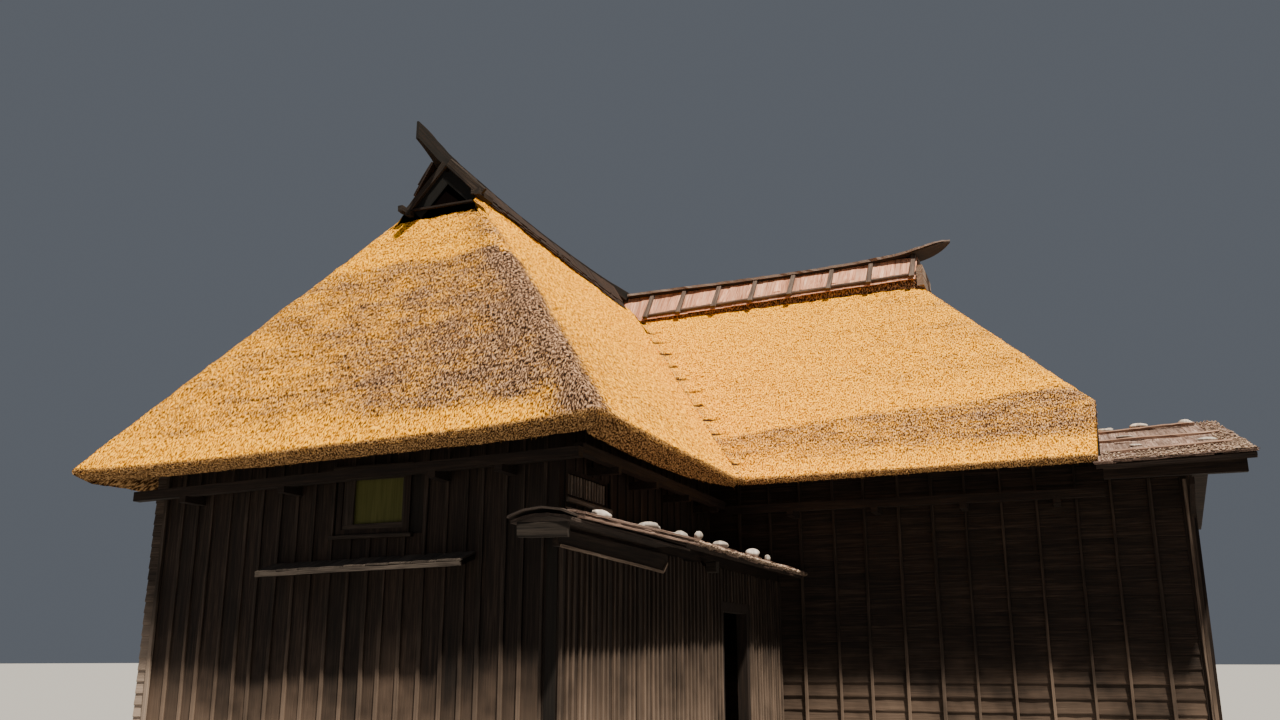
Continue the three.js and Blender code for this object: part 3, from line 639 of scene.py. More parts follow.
@dataclass(frozen=True)
class Straw:
    """Thatch: a coat of cut straw ends, golden where fresh and grey brown where weathered.

    Attributes:
        fresh: Dark, middle and pale colour of fresh straw.
        old: Dark, middle and pale colour of weathered straw.
        cut: Dark, middle and pale colour of the trimmed eave faces.
        seam: Colour of the shadow under a course.
        soot: Near-black colour: painted shade on the slabs' undersides, and soot with painted shade in the
            gable's mouth.
    """

    fresh: tuple[Colour, Colour, Colour] = ((0.15, 0.058, 0.004), (0.80, 0.330, 0.004), (1.0, 0.50, 0.014))
    old: tuple[Colour, Colour, Colour] = ((0.013, 0.007, 0.005), (0.075, 0.043, 0.027), (0.38, 0.23, 0.14))
    cut: tuple[Colour, Colour, Colour] = ((0.03, 0.015, 0.007), (0.19, 0.10, 0.042), (0.45, 0.27, 0.12))
    seam: Colour = (0.035, 0.017, 0.009)
    soot: Colour = (0.0015, 0.001, 0.001)

    def material(self) -> bpy.types.Material:
        """The finish as a material, made once; the mesh holds its weather, its cut, and its soot with painted
        shade.
        """
        if "straw" in bpy.data.materials:
            return bpy.data.materials["straw"]
        graph = Graph("straw")
        maths = graph.maths
        ends = graph.grained(Grain.MAP, 57.0, 23.0, 2.0, 0.6, 0.4)
        fine = graph.grained(Grain.MAP, 130.0, 52.0, 2.0, 0.6)
        tuft = graph.grained(Grain.MAP, 11.0, 6.0, 2.0, 0.6)
        grain = maths("MULTIPLY_ADD", ends, 0.76,
                      maths("MULTIPLY_ADD", fine, 0.10, maths("MULTIPLY", tuft, 0.14)))
        cloud = maths("MULTIPLY_ADD", graph.noise(graph.place(), 2.1, 4.0, 0.62), 0.7, -0.35)
        streak = maths("MULTIPLY_ADD", graph.grained(Grain.MAP, 0.9, 7.0, 4.0, 0.6, 0.8), 0.8, -0.40)
        speck = maths("MULTIPLY_ADD", graph.grained(Grain.MAP, 40.0, 24.0, 2.0, 0.6), 1.3, -0.77)
        age = maths("ADD", graph.held("weather"), maths("ADD", cloud, streak))
        share = graph.fade(maths("ADD", age, speck), 0.0, 0.80)
        fresh, old, cut = (graph.ramp(grain, *zip((0.44, 0.51, 0.57), colours))
                           for colours in (self.fresh, self.old, self.cut))
        eave = graph.mix(graph.held("cut"), graph.mix(share, fresh, old), cut)
        # Painted shadow under each course's lip.
        seam = graph.mix(graph.fade(graph.held("seam"), 0.0, 0.55), eave, self.seam)
        # Near-black painted shade on the undersides, and soot with painted shade in the gable's mouth.
        sooty_shaded = graph.mix(graph.held("soot"), seam, self.soot)
        return graph.dress(sooty_shaded, 0.95, grain, 0.85, 0.02, 0.0)


TIMBERS = {
    # Worn grey timber; on the eave board's lath its paleness is painted sunlight on the board's lower edge.
    "worn_and_lit_timber": ((0.05, 0.035, 0.028), (0.18, 0.13, 0.10), (0.42, 0.33, 0.27)),
    "ridge_bark": ((0.16, 0.060, 0.035), (0.50, 0.24, 0.15), (0.72, 0.50, 0.38)),
    "batten": ((0.022, 0.015, 0.012), (0.075, 0.052, 0.043), (0.18, 0.14, 0.12)),
    "ridge_cover": ((0.08, 0.055, 0.045), (0.20, 0.15, 0.13), (0.40, 0.32, 0.28)),
    # Near-black board under the main ridge's cover: painted shade under the cover's edge.
    "shade_board": ((0.008, 0.006, 0.005), (0.03, 0.02, 0.015), (0.07, 0.048, 0.036)),
    "rough_bark": ((0.003, 0.0015, 0.001), (0.013, 0.007, 0.005), (0.060, 0.030, 0.019)),
    "ridge_beam": ((0.0015, 0.001, 0.001), (0.006, 0.004, 0.003), (0.022, 0.013, 0.010)),
    "gable_board": ((0.003, 0.002, 0.0015), (0.012, 0.008, 0.006), (0.045, 0.032, 0.025)),
    # Near-black lining: painted shade in the smoke gable's mouth.
    "shade_lining": ((0.0004, 0.0004, 0.0004), (0.001, 0.001, 0.001), (0.002, 0.0015, 0.001)),
    # Wall boards and battens: near-black partly from age and soot, partly as painted shade under the eaves;
    # their paler foot is partly bleaching, partly painted sunlight.
    "old_shaded_boards": ((0.003, 0.0018, 0.0012), (0.014, 0.008, 0.0055), (0.042, 0.027, 0.019),
                   (0.20, 0.140, 0.105), 0.9, 1.2),
    "old_shaded_battens": ((0.005, 0.003, 0.002), (0.022, 0.014, 0.010), (0.062, 0.043, 0.033),
                    (0.24, 0.175, 0.135), 0.9, 1.5),
    # Corner laps: their paler foot below about two metres is painted sunlight.
    "corner_laps": ((0.010, 0.007, 0.005), (0.040, 0.028, 0.021), (0.10, 0.075, 0.06),
                    (0.42, 0.33, 0.27), 1.0, 2.1),
    "post_batten": ((0.02, 0.014, 0.011), (0.08, 0.058, 0.045), (0.20, 0.155, 0.125)),
    "window_bars": ((0.006, 0.004, 0.003), (0.024, 0.017, 0.013), (0.065, 0.048, 0.038)),
    "lattice_bars": ((0.035, 0.025, 0.02), (0.14, 0.11, 0.09), (0.33, 0.28, 0.24)),
    "hood_boards": ((0.014, 0.011, 0.009), (0.055, 0.044, 0.037), (0.15, 0.125, 0.105)),
    "roof_bark": ((0.030, 0.018, 0.014), (0.155, 0.100, 0.080), (0.40, 0.31, 0.27)),
    # Near-black bark of the lean-to's arched near end and the end bay's eave laths: painted shade.
    "old_shaded_bark": ((0.008, 0.005, 0.004), (0.030, 0.021, 0.017), (0.10, 0.072, 0.060)),
    "roof_crumbs": ((0.03, 0.019, 0.014), (0.19, 0.130, 0.095), (0.56, 0.46, 0.37)),
    "river_stone": ((0.17, 0.15, 0.135), (0.37, 0.335, 0.31), (0.60, 0.57, 0.54)),
    # Near-black boards at the lean-to's near end: painted shade.
    "shaded_ends": ((0.006, 0.004, 0.003), (0.024, 0.018, 0.014), (0.07, 0.055, 0.045)),
    "roof_battens": ((0.06, 0.036, 0.027), (0.24, 0.145, 0.105), (0.50, 0.36, 0.27)),
    # Frame timber: smoke-dark wood, made darker still as painted shade.
    "smoke_and_shade_timber": ((0.004, 0.002, 0.0015), (0.015, 0.008, 0.005), (0.042, 0.026, 0.018)),
    "wall_core": ((0.003, 0.002, 0.0015), (0.010, 0.007, 0.005), (0.024, 0.017, 0.013)),
    # Undersides of the frame's bark roofs: near-black as painted shade.
    "shaded_bark_core": ((0.008, 0.005, 0.004), (0.034, 0.023, 0.017), (0.09, 0.064, 0.050)),
    "window_paper": ((0.055, 0.057, 0.012), (0.085, 0.086, 0.021), (0.115, 0.115, 0.034)),
}
FINISHES: dict[str, Union[Timber, Straw]] = {
    "straw": Straw(), **{name: Timber(name, *values) for name, values in TIMBERS.items()}}


@dataclass(frozen=True)
class RoofForm:
    """The outer form of both thatched roofs as heights over the plan.

    Each slope is a plane through its eave. Where two slopes meet, the lower one counts, with the
    hip between them rounded, and where the two wings meet, the higher one counts.

    Attributes:
        eave: Height of the eaves.
        left_eave: Height of the left eave, which hangs lower.
        front_apex: Height where the front wing's long slopes would meet.
        main_pitch: Rise of the main wing's slopes for each metre.
        main_rise: Rise of the main wing's slopes for each metre along them.
        hip_pitch: Rise of the front hip.
        end_eave: Height of the plumb edge of the end hip.
        end_pitch: Rise of the end hip.
        gable: Place of the smoke gable's face along Y.
        hip_round: Reach of the rounding at the hips.
        ridge_round: Reach of the rounding under the front ridge.
        valley_round: Reach of the rounding in the valley.
        bulge: How far the front hips swell halfway up.
        hip_height: Height over which they swell.
        fading: Way behind the gable over which the swelling fades.
        drop: How far an eave's cut face reaches down.
    """

    eave: float = 3.92
    left_eave: float = 3.72
    front_apex: float = 8.18
    main_pitch: float = 0.989
    main_rise: float = 0.012
    hip_pitch: float = 1.51
    end_eave: float = 4.91
    end_pitch: float = 1.127
    gable: float = -3.35
    hip_round: float = 0.36
    ridge_round: float = 0.9
    valley_round: float = 0.16
    bulge: float = 0.09
    hip_height: float = 3.55
    fading: float = 1.2
    drop: float = 0.2

    @property
    def front_low(self) -> Array:
        """Lowest corner of the front wing's thatch in plan: the left eave and the front eave."""
        return np.array(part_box(FRONT_HIP)[0])[:2]

    @property
    def inner_eave(self) -> float:
        """Place of the inner eave along X."""
        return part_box(FRONT_HIP)[1].x

    @property
    def main_eave(self) -> float:
        """Place of the main wing's front eave along Y."""
        return round(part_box(MAIN_FRONT)[0].y, 3)

    @property
    def back_eave(self) -> float:
        """Place of the back eave along Y."""
        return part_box("main_back_thatch")[1].y

    @property
    def end(self) -> float:
        """Place of the thatch's plumb end along X."""
        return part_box("end_hip_thatch")[1].x

    @property
    def ridge_x(self) -> float:
        """Place of the front wing's ridge along X."""
        low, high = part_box("front_ridge_cap")
        return round((low.x + high.x) / 2, 3)

    @property
    def ridge_y(self) -> float:
        """Place of the main wing's ridge along Y."""
        return (self.main_eave + self.back_eave) / 2

    @property
    def main_run(self) -> float:
        """Way in plan from the main wing's eaves to its ridge."""
        return self.ridge_y - self.main_eave

    @property
    def corner_run(self) -> float:
        """Way in plan from the main wing's eaves to the end hip's corners."""
        return (self.end_eave - self.eave) / self.main_pitch

    @property
    def end_ridge(self) -> float:
        """Place along X where the end hip meets the main ridge."""
        apex = self.eave + self.main_pitch * self.main_run
        return self.end - (apex - self.end_eave) / self.end_pitch

    @property
    def inner_pitch(self) -> float:
        """Rise of the inner slope for each metre."""
        return (self.front_apex - self.eave) / (self.inner_eave - self.ridge_x)

    @property
    def left_pitch(self) -> float:
        """Rise of the left slope for each metre."""
        return (self.front_apex - self.left_eave) / (self.ridge_x - self.front_low[0])

    @property
    def front_rise(self) -> float:
        """Rise of the front hip for each metre along its eave."""
        return (self.eave - self.left_eave) / (self.inner_eave - self.front_low[0])

    def inner(self, x: Array, y: Array) -> Array:
        """Height of the inner slope's plane."""
        return self.eave + self.inner_pitch * (self.inner_eave - x) + 0 * y

    def left(self, x: Array, y: Array) -> Array:
        """Height of the left slope's plane."""
        return self.left_eave + self.left_pitch * (x - self.front_low[0]) + 0 * y

    def hip(self, x: Array, y: Array) -> Array:
        """Height of the front hip's plane."""
        return self.eave + self.front_rise * (x - self.inner_eave) + self.hip_pitch * (y - self.front_low[1])

    def main_front(self, x: Array, y: Array) -> Array:
        """Height of the main wing's front slope's plane."""
        return self.eave + self.main_rise * (x - self.inner_eave) + self.main_pitch * (y - self.main_eave)

    def main_back(self, x: Array, y: Array) -> Array:
        """Height of the back slope's plane."""
        return self.eave + self.main_rise * (x - self.inner_eave) + self.main_pitch * (self.back_eave - y)

    def end_hip(self, x: Array, y: Array) -> Array:
        """Height of the end hip's plane."""
        return self.end_eave + self.end_pitch * (self.end - x) + 0 * y

    def valley(self, x: Array, y: Array) -> Array:
        """How far apart the planes at the valley are in height."""
        return np.abs(self.inner(x, y) - self.main_front(x, y))

    def lower(self, first: Array, second: Array, reach: Array) -> Array:
        """The lower of two heights, with the crease rounded over the reach.

        It is the lower one less a quarter of reach (1 - gap / reach) squared while the gap is
        less than the reach, which fades out towards the eaves.

        Args:
            first: One height.
            second: The other.
            reach: The gap at which the rounding ends.
        Returns:
            The rounded height.
        """
        lowest = np.minimum(first, second)
        wide = reach * np.clip((lowest - self.eave) / 1.3, 0.08, 1)
        near = np.clip(1 - np.abs(first - second) / np.maximum(wide, 1e-6), 0, 1)
        return lowest - wide * near ** 2 / 4

    def height(self, x: Array, y: Array) -> Array:
        """Height of the rounded roof over the plan.

        The front wing is the lower of its long slopes, and before the gable of its hip too, where
        both swell beside the hip's corners by half a sine wave over its height. The main wing is the
        lowest of its slopes and the end hip. Right of the front ridge the higher wing counts, and
        the valley between them is filled by a small round.

        Args:
            x: Places along X.
            y: Places along Y.
        Returns:
            The heights there.
        """
        front = self.lower(self.inner(x, y), self.left(x, y), self.ridge_round)
        before = np.clip((self.gable - y) / 0.7, 0, 1)
        hip = self.hip(x, y)
        corner = np.exp(-np.abs(front - hip) / 0.9)
        swell = self.bulge * np.sin(np.pi * np.clip((hip - self.eave) / self.hip_height, 0, 1)) * corner
        hipped = self.lower(front, hip, self.hip_round * before) + swell
        front = front + swell * np.clip((self.gable + self.fading - y) / self.fading, 0, 1)
        front = np.where(y < self.gable, hipped, front)
        front = self.lower(front, self.main_back(x, y), self.hip_round)
        main = self.lower(self.main_front(x, y), self.main_back(x, y), self.hip_round)
        main = self.lower(main, self.end_hip(x, y), self.hip_round * 0.8)
        valley = self.valley_round * np.clip((self.ridge_y - y) / 0.8, 0, 1)
        near = np.clip(1 - np.abs(front - main) / np.maximum(valley, 1e-6), 0, 1)
        both = np.maximum(front, main) + valley * near ** 2 / 4
        return np.where(x > self.ridge_x, both, front)

    def normal(self, x: Array, y: Array) -> Array:
        """Outward direction of the rounded roof, from its rise over a small step each way.

        Args:
            x: Places along X.
            y: Places along Y.
        Returns:
            Unit directions, shape (..., 3).
        """
        step = 0.04
        rise_x = (self.height(x + step, y) - self.height(x - step, y)) / (2 * step)
        rise_y = (self.height(x, y + step) - self.height(x, y - step)) / (2 * step)
        return unit(np.stack([-rise_x, -rise_y, np.ones_like(rise_x)], -1))


class Way(Enum):
    """Which way a slope's rows run in plan."""

    ALONG_X = 0
    ALONG_Y = 1


@dataclass(frozen=True)
class Band:
    """A weathered band along a slope.

    Attributes:
        low: Where it starts up the slope, in metres from the eave.
        high: Where it ends.
        near: How strong it is at the near end of the slope, from 0 to 1.
        far: How strong it is at the far end.
        rise: How much further up it ends at the far end.
    """

    low: float
    high: float
    near: float
    far: float
    rise: float = 0.0


@dataclass(frozen=True)
class Slope:
    """One slope of thatch as a closed slab.

    Its rows run level along the eave, from the ridge on the underside, down to the eave, up the
    trimmed face, round its rounded edge and up to the ridge again. Each row is divided evenly
    between the slope's two sides.

    Attributes:
        node: The frame's node that it stands for.
        plane: Height of its plane over the plan.
        way: Which way the rows run.
        eave: Place of the eave across the rows.
        top: Place of the ridge or gable across the rows.
        pitch: Rise for each metre in from the eave.
        turns: Steps in from the eave where the sides turn.
        near: The sides' lower places at those steps.
        far: The sides' higher places at those steps.
        leans: How far the near and the far side move at the full thickness.
        columns: Points in a row.
        rows: Rows on the upper face.
        bands: Its weathered bands.
        face: Shares of the thickness that the trimmed face takes, evenly spread along the eave.
        sag: How far the middle of the eave hangs below its corners.
        plumb: Whether the eave is cut plumb and not square.
    """

    node: str
    plane: Callable[[Array, Array], Array]
    way: Way
    eave: float
    top: float
    pitch: float
    turns: tuple[float, ...]
    near: tuple[float, ...]
    far: tuple[float, ...]
    leans: tuple[float, float]
    columns: int
    rows: int
    bands: tuple[Band, ...]
    face: tuple[float, ...] = (1.0, 1.0)
    sag: float = 0.0
    plumb: bool = False

    @property
    def secant(self) -> float:
        """Length up the slope for each metre in from the eave."""
        return math.hypot(1, self.pitch)

    @property
    def inward(self) -> float:
        """Sign of the way from the eave to the top."""
        return math.copysign(1, self.top - self.eave)

    @property
    def flipped(self) -> bool:
        """Whether rows and columns turn the slab's faces inwards unless they are reversed."""
        return (self.way is Way.ALONG_X) == (self.inward < 0)

    @property
    def axis(self) -> int:
        """The axis that runs in from the eave, 0 for X and 1 for Y."""
        return 1 - self.way.value

    def direction(self, inward: float, up: float) -> Array:
        """A vector from its parts in from the eave and up, for a slope of length one."""
        way = np.zeros(3)
        way[[self.axis, 2]] = self.inward * inward / self.secant, up / self.secant
        return way

    def plan(self, level: Array, across: Array) -> tuple[Array, Array]:
        """X and Y of places along the eave and across it."""
        return (level, across) if self.way is Way.ALONG_X else (across, level)


@dataclass(frozen=True)
class Thatch:
    """All the thatch: six slabs of straw, and the loose straw at their edges.

    Attributes:
        form: The roof's form.
        edge: Radius of the rounded eave edge.
        course: Height of one course of straw.
        lip: How far a course stands out over the next one.
        valley_lip: How far it stands out beside the valley.
        under_rows: Rows on the underside, and on the trimmed face.
        edge_rows: Rows round the edge.
        wave: Reach of the long waves in the coat.
        tuft: Reach of its tufts.
        ends: Reach of its straw ends.
        sooty_shaded: Height above which the gable's mouth is painted near-black, as soot and shade.
        eave_stubs: Straw stubs on a metre of eave.
        face_stubs: Straw stubs for each row of a slope's upper face.
        soft: Reach of the climb at a weathered band's low edge.
        crisp: Reach of the fall at its high edge.
    """

    form: RoofForm = RoofForm()
    edge: float = 0.055
    course: float = 0.30
    lip: float = 0.0025
    valley_lip: float = 0.030
    under_rows: int = 8
    edge_rows: int = 5
    wave: float = 0.016
    tuft: float = 0.006
    ends: float = 0.0065
    sooty_shaded: float = 7.2
    eave_stubs: float = 330
    face_stubs: int = 23
    soft: float = 0.30
    crisp: float = 0.10

    def gabled(self, eave: float, edge: float, corner: float) -> dict[str, tuple[float, ...]]:
        """The sides of a long slope of the front wing, from the hip and gable to the main wing.

        Args:
            eave: Place of its eave along X.
            edge: Where it meets the gable's foot along X.
            corner: Place of the main wing's eave that it runs to.
        Returns:
            The slope's turns, near and far.
        """
        form = self.form
        meeting, run = abs(edge - eave), abs(form.ridge_x - eave)
        meets = np.interp(meeting, (0, run), (corner, form.ridge_y))
        return {"turns": (0, meeting, meeting + 0.001, run), "near": (form.front_low[1], *[form.gable] * 3),
                "far": (corner, meets, meets, form.ridge_y)}

    def crossing(self, side: float) -> dict[str, tuple[float, ...]]:
        """The same for a slope of the main wing that starts at the front wing's eave on one side.

        Args:
            side: Place of the front wing's eave along X.
        Returns:
            The slope's turns, near and far.
        """
        form = self.form
        turns = (0, form.corner_run, form.main_run)
        return {"turns": turns, "near": tuple(np.interp(turns, (0, form.main_run), (side, form.ridge_x))),
                "far": (form.end - 0.06, form.end, form.end_ridge)}

    def slopes(self) -> list[Slope]:
        """The six slopes, from the roof's form."""
        form = self.form
        left, front = form.front_low
        hip_run = form.gable - front
        gable_rise = form.eave + form.hip_pitch * hip_run
        gable_right = form.inner_eave - (gable_rise - form.eave) / form.inner_pitch
        gable_left = left + (gable_rise - form.left_eave) / form.left_pitch
        left_lean, inner_lean, main_lean = (
            form.drop * pitch for pitch in (form.left_pitch, form.inner_pitch, form.main_pitch))
        return [
            Slope(FRONT_HIP, form.hip, Way.ALONG_X, front, form.gable, form.hip_pitch, (0, hip_run),
                  (left, gable_left), (form.inner_eave, gable_right), (left_lean, -inner_lean), 292, 186,
                  (Band(0.34, 3.15, 0.33, 0.98, 0.1), Band(3.3, 4.6, 0.0, 0.60)),
                  (0.40, 0.40, 0.42, 0.46, 0.62), 0.07),
            Slope("inner_slope_thatch", form.inner, Way.ALONG_Y, form.inner_eave, form.ridge_x,
                  form.inner_pitch, **self.gabled(form.inner_eave, gable_right, form.main_eave),
                  leans=(0.34, main_lean), columns=258, rows=222, bands=(Band(0.4, 4.4, 0.45, -0.35),),
                  face=(0.85, 0.95, 0.95, 0.85, 0.6, 0.25)),
            Slope("left_slope_thatch", form.left, Way.ALONG_Y, left, form.ridge_x, form.left_pitch,
                  **self.gabled(left, gable_left, form.back_eave), leans=(0.34, -main_lean),
                  columns=250, rows=110, bands=(Band(0.5, 2.6, 0.8, 0.5), Band(3.4, 4.6, 0.5, 0.6)),
                  face=(0.55, 0.55)),
            Slope(MAIN_FRONT, form.main_front, Way.ALONG_X, form.main_eave, form.ridge_y,
                  form.main_pitch, **self.crossing(form.inner_eave), leans=(-inner_lean, 0.0),
                  columns=258, rows=222,
                  bands=(Band(0.40, 1.22, 0.52, 0.72, 0.62), Band(2.0, 2.9, 0.05, 0.42),
                         Band(3.0, 5.4, -0.2, 0.52)), face=(0.10, 0.10, 0.14)),
            Slope("main_back_thatch", form.main_back, Way.ALONG_X, form.back_eave, form.ridge_y,
                  form.main_pitch, **self.crossing(left), leans=(left_lean, 0.0), columns=240, rows=105,
                  bands=(Band(0.5, 2.4, 0.7, 0.9), Band(3.2, 4.4, 0.6, 0.3)), face=(0.4, 0.4)),
            Slope("end_hip_thatch", form.end_hip, Way.ALONG_Y, form.end, form.end_ridge, form.end_pitch,
                  (0, form.end - form.end_ridge), (form.main_eave + form.corner_run, form.ridge_y),
                  (form.back_eave - form.corner_run, form.ridge_y), (0.0, 0.0), 170, 120,
                  (Band(0.4, 1.8, 0.5, 0.6), Band(2.4, 3.6, 0.6, 0.4)), plumb=True),
        ]

    def profile(self, slope: Slope) -> tuple[Array, Array, Array]:
        """The rows of a slab: step in from the eave, depth from 0 to 1, and turn of the edge.

        Args:
            slope: The slope.
        Returns:
            Step in metres, depth as a share of the thickness, and 0 on the upper face, 1 on the
            trimmed face and -1 on the underside, with the rounded edge between 0 and 1.
        """
        count = self.under_rows
        run = abs(slope.top - slope.eave)
        thick = self.form.drop * slope.secant
        under = np.linspace(run - self.form.drop * slope.pitch, 0, count + 1)[:-1]
        trim = np.linspace(1, self.edge / thick, count + 1)[:-1]
        turn = np.linspace(math.pi / 2, 0, self.edge_rows + 1)[:-1]
        up = np.linspace(self.edge / slope.secant, run, slope.rows)
        step = np.concatenate([under, 0 * trim, self.edge / slope.secant * (1 - np.sin(turn)), up])
        depth = np.concatenate([np.ones(count), trim, self.edge / thick * (1 - np.cos(turn)), 0 * up])
        side = np.concatenate([-np.ones(count), np.ones(count), turn / (math.pi / 2), 0 * up])
        return step, depth, side

    def shell(self, slope: Slope) -> Surface:
        """A slope as one closed slab with its noise, courses, weather and cut faces.

        A point in from the eave by t and along it by u lies on the roof's rounded form. The
        trimmed face and the underside are moved in and down along the slope's square thickness,
        and the middle of the eave hangs by its sag, which fades out up the slope.

        Args:
            slope: The slope.
        Returns:
            The slab.
        """
        form = self.form
        step, depth, side = self.profile(slope)
        drop_in = 0.0 if slope.plumb else form.drop * slope.pitch
        drop_down = form.drop * slope.secant ** 2 if slope.plumb else form.drop
        share = np.linspace(0, 1, slope.columns)
        full = self.edge / (form.drop * slope.secant)
        cut = np.interp(share, np.linspace(0, 1, len(slope.face)), slope.face)
        trimmed = full + (depth[:, None] - full) * cut
        depth = np.where((side == 1)[:, None], trimmed, depth[:, None])
        near, far = np.interp(step, slope.turns, slope.near), np.interp(step, slope.turns, slope.far)
        level = near[:, None] - OVERLAP + (far - near + 2 * OVERLAP)[:, None] * share
        leaned = level + depth * (slope.leans[0] + (slope.leans[1] - slope.leans[0]) * share)
        hang = slope.sag * (1 - (2 * share - 1) ** 4) * np.exp(-step / 0.45)[:, None]
        across = np.broadcast_to((slope.eave + slope.inward * step)[:, None], level.shape)
        x, y = slope.plan(level, across)
        before = y - 0.001 * (slope.node == FRONT_HIP)
        smooth = form.height(x, before) - slope.plane(x, before)
        z = slope.plane(*slope.plan(leaned, across)) + smooth * (1 - depth) - drop_down * depth - hang
        x, y = slope.plan(leaned, across + slope.inward * drop_in * depth)
        return self.roughened(slope, np.stack([x, y, z], -1), step, depth, side, level)

    def roughened(self, slope: Slope, points: Array, step: Array, depth: Array, side: Array,
                  level: Array) -> Surface:
        """The slab's points pushed out by noise and courses, with its values.

        Args:
            slope: The slope.
            points: The slab's points, shape (rows, columns, 3).
            step: How far in from the eave each row lies.
            depth: Depth of each point as a share of the thickness.
            side: Where each row lies, as the profile gives it.
            level: Each point's place along the eave.
        Returns:
            The slab.
        """
        form, steep = self.form, slope.secant
        x, y, z = np.moveaxis(points, -1, 0)
        clear = 0.045
        beside = (np.minimum(y, form.gable - clear) if slope.node == FRONT_HIP
                  else np.where(y > form.gable - OVERLAP - 1e-6, np.maximum(y, form.gable + clear), y))
        bend = np.clip(side, 0, 1)[:, None, None] * math.pi / 2
        way = np.cos(bend) * form.normal(x, beside) + np.sin(bend) * slope.direction(-1, -slope.pitch)
        tuft = noise(points, 0.11, SEED + 5)
        phase = (z + 0.05 * noise(points, 0.7, SEED + 7)) / self.course % 1
        valley = np.exp(-form.valley(x, y) / 0.42) * (slope.node == MAIN_FRONT) * (x > form.ridge_x)
        ragged = valley * (0.65 + 0.35 * tuft)
        courses = (self.lip + self.valley_lip * ragged) * (1 - phase) ** 1.5
        top = (side == 0)[:, None]
        push = (self.wave * layered(points, 0.85, SEED, 3) + self.tuft * tuft
                + self.ends * noise(points, 0.034, SEED + 6) + np.where(top, courses, 0))
        ends_fade = np.minimum(level - level.min(1, keepdims=True), level.max(1, keepdims=True) - level)
        inside = np.where(step[:, None] < 0.1, np.clip(ends_fade / 0.03, 0.15, 1), 1)
        push = np.where(side[:, None] < 0, 0, push * inside)
        moved = points + push[..., None] * way
        share = np.clip((level - level.min()) / np.ptp(level), 0, 1)
        run = step * steep
        columns = slope.columns
        faces = grid_faces(len(step), columns, wrap_rows=True)
        inward = slope.inward * (moved[..., slope.axis] - slope.eave)
        caps = [self.side(inward[:, 0], columns, 0)[:, ::-1], self.side(inward[:, -1], columns, columns - 1)]
        if slope.flipped:
            faces, caps = faces[:, ::-1], [cap[:, ::-1] for cap in caps]
        down_run = run[:, None] - depth * form.drop * steep * 2
        stretched = level * (1.0 if slope.way is Way.ALONG_X else 0.5)
        mapped = np.stack(np.broadcast_arrays(stretched, down_run), -1).reshape(-1, 2)
        # Painted shadow under each course's lip, strongest beside the valley.
        seam = np.clip(1 - np.abs(phase - 0.93) / 0.09, 0, 1) * np.clip(2.2 * ragged - 0.5, 0, 1)
        mouth = (step[:, None] > step.max() - 1e-6 if slope.node == FRONT_HIP
                 else (np.arange(columns) < 2)[None])
        # The undersides are painted near-black as shade, and the gable's mouth above the sooty height as soot
        # and shade.
        values = {"weather": self.weather(slope, np.broadcast_to(run[:, None], share.shape), share, points),
                  "seam": np.where(top, seam, 0),
                  "cut": np.clip(2.5 * np.abs(side), 0, 1)[:, None],
                  "soot": (side < 0)[:, None] | (((depth > 0.02) | mouth) & (z > self.sooty_shaded))}
        spread = {name: np.broadcast_to(value, level.shape).ravel().astype(float)
                  for name, value in values.items()}
        return Surface(moved.reshape(-1, 3), [faces, *caps], mapped, spread)

    def side(self, inward: Array, columns: int, column: int) -> Array:
        """Triangles that close one side of a slab, between its underside and the rest of its ring.

        Args:
            inward: How far in from the eave each row's point lies on that side.
            columns: Points in a row.
            column: The side's place in a row.
        Returns:
            Vertex numbers, shape (rows - 2, 3), in the ring's own sense.
        """
        count = self.under_rows
        rows = np.arange(len(inward))
        lower, upper = rows[:count][::-1], rows[count:]
        place = np.concatenate([np.maximum.accumulate(inward[part][1:]) for part in (lower, upper)])
        merged = np.concatenate([lower[1:], upper[1:]])[np.argsort(place, kind="stable")]
        below = merged < count
        last_lower = lower[np.concatenate([[0], np.cumsum(below)[:-1]])]
        last_upper = upper[np.concatenate([[0], np.cumsum(~below)[:-1]])]
        return np.stack([last_lower, last_upper, merged], -1) * columns + column

    def weather(self, slope: Slope, run: Array, share: Array, points: Array) -> Array:
        """How weathered the straw is: the strongest of the slope's bands, with wandering edges.

        A band climbs at its low edge and falls at its high edge by smooth steps, and its strength
        runs evenly from the slope's near end to its far end. A strip beside the valley and one
        round the hip between the front and the inner slope are weathered too.

        Args:
            slope: The slope.
            run: How far up the slope each point lies.
            share: How far along it each point lies, from 0 to 1.
            points: The points.
        Returns:
            How weathered each point is.
        """
        place = run + 0.16 * layered(points, 1.1, SEED + 9, 3)
        strengths = [
            (band.near + (band.far - band.near) * share) * climbing(place - band.low, self.soft)
            * climbing(band.high + band.rise * share ** 3 - place, self.crisp) for band in slope.bands]
        x, y = points[..., 0], points[..., 1]
        if slope.node == MAIN_FRONT:
            strengths.append(0.5 * np.exp(-self.form.valley(x, y) / 0.22))
        if slope.node in (FRONT_HIP, "inner_slope_thatch"):
            away = np.abs(self.form.inner(x, y) - self.form.hip(x, y))
            below = climbing(3.2 - place, self.crisp)
            strengths.append((0.55 + 0.55 * below) * np.exp(-(away / 0.75) ** 2))
        return np.max(strengths, axis=0)

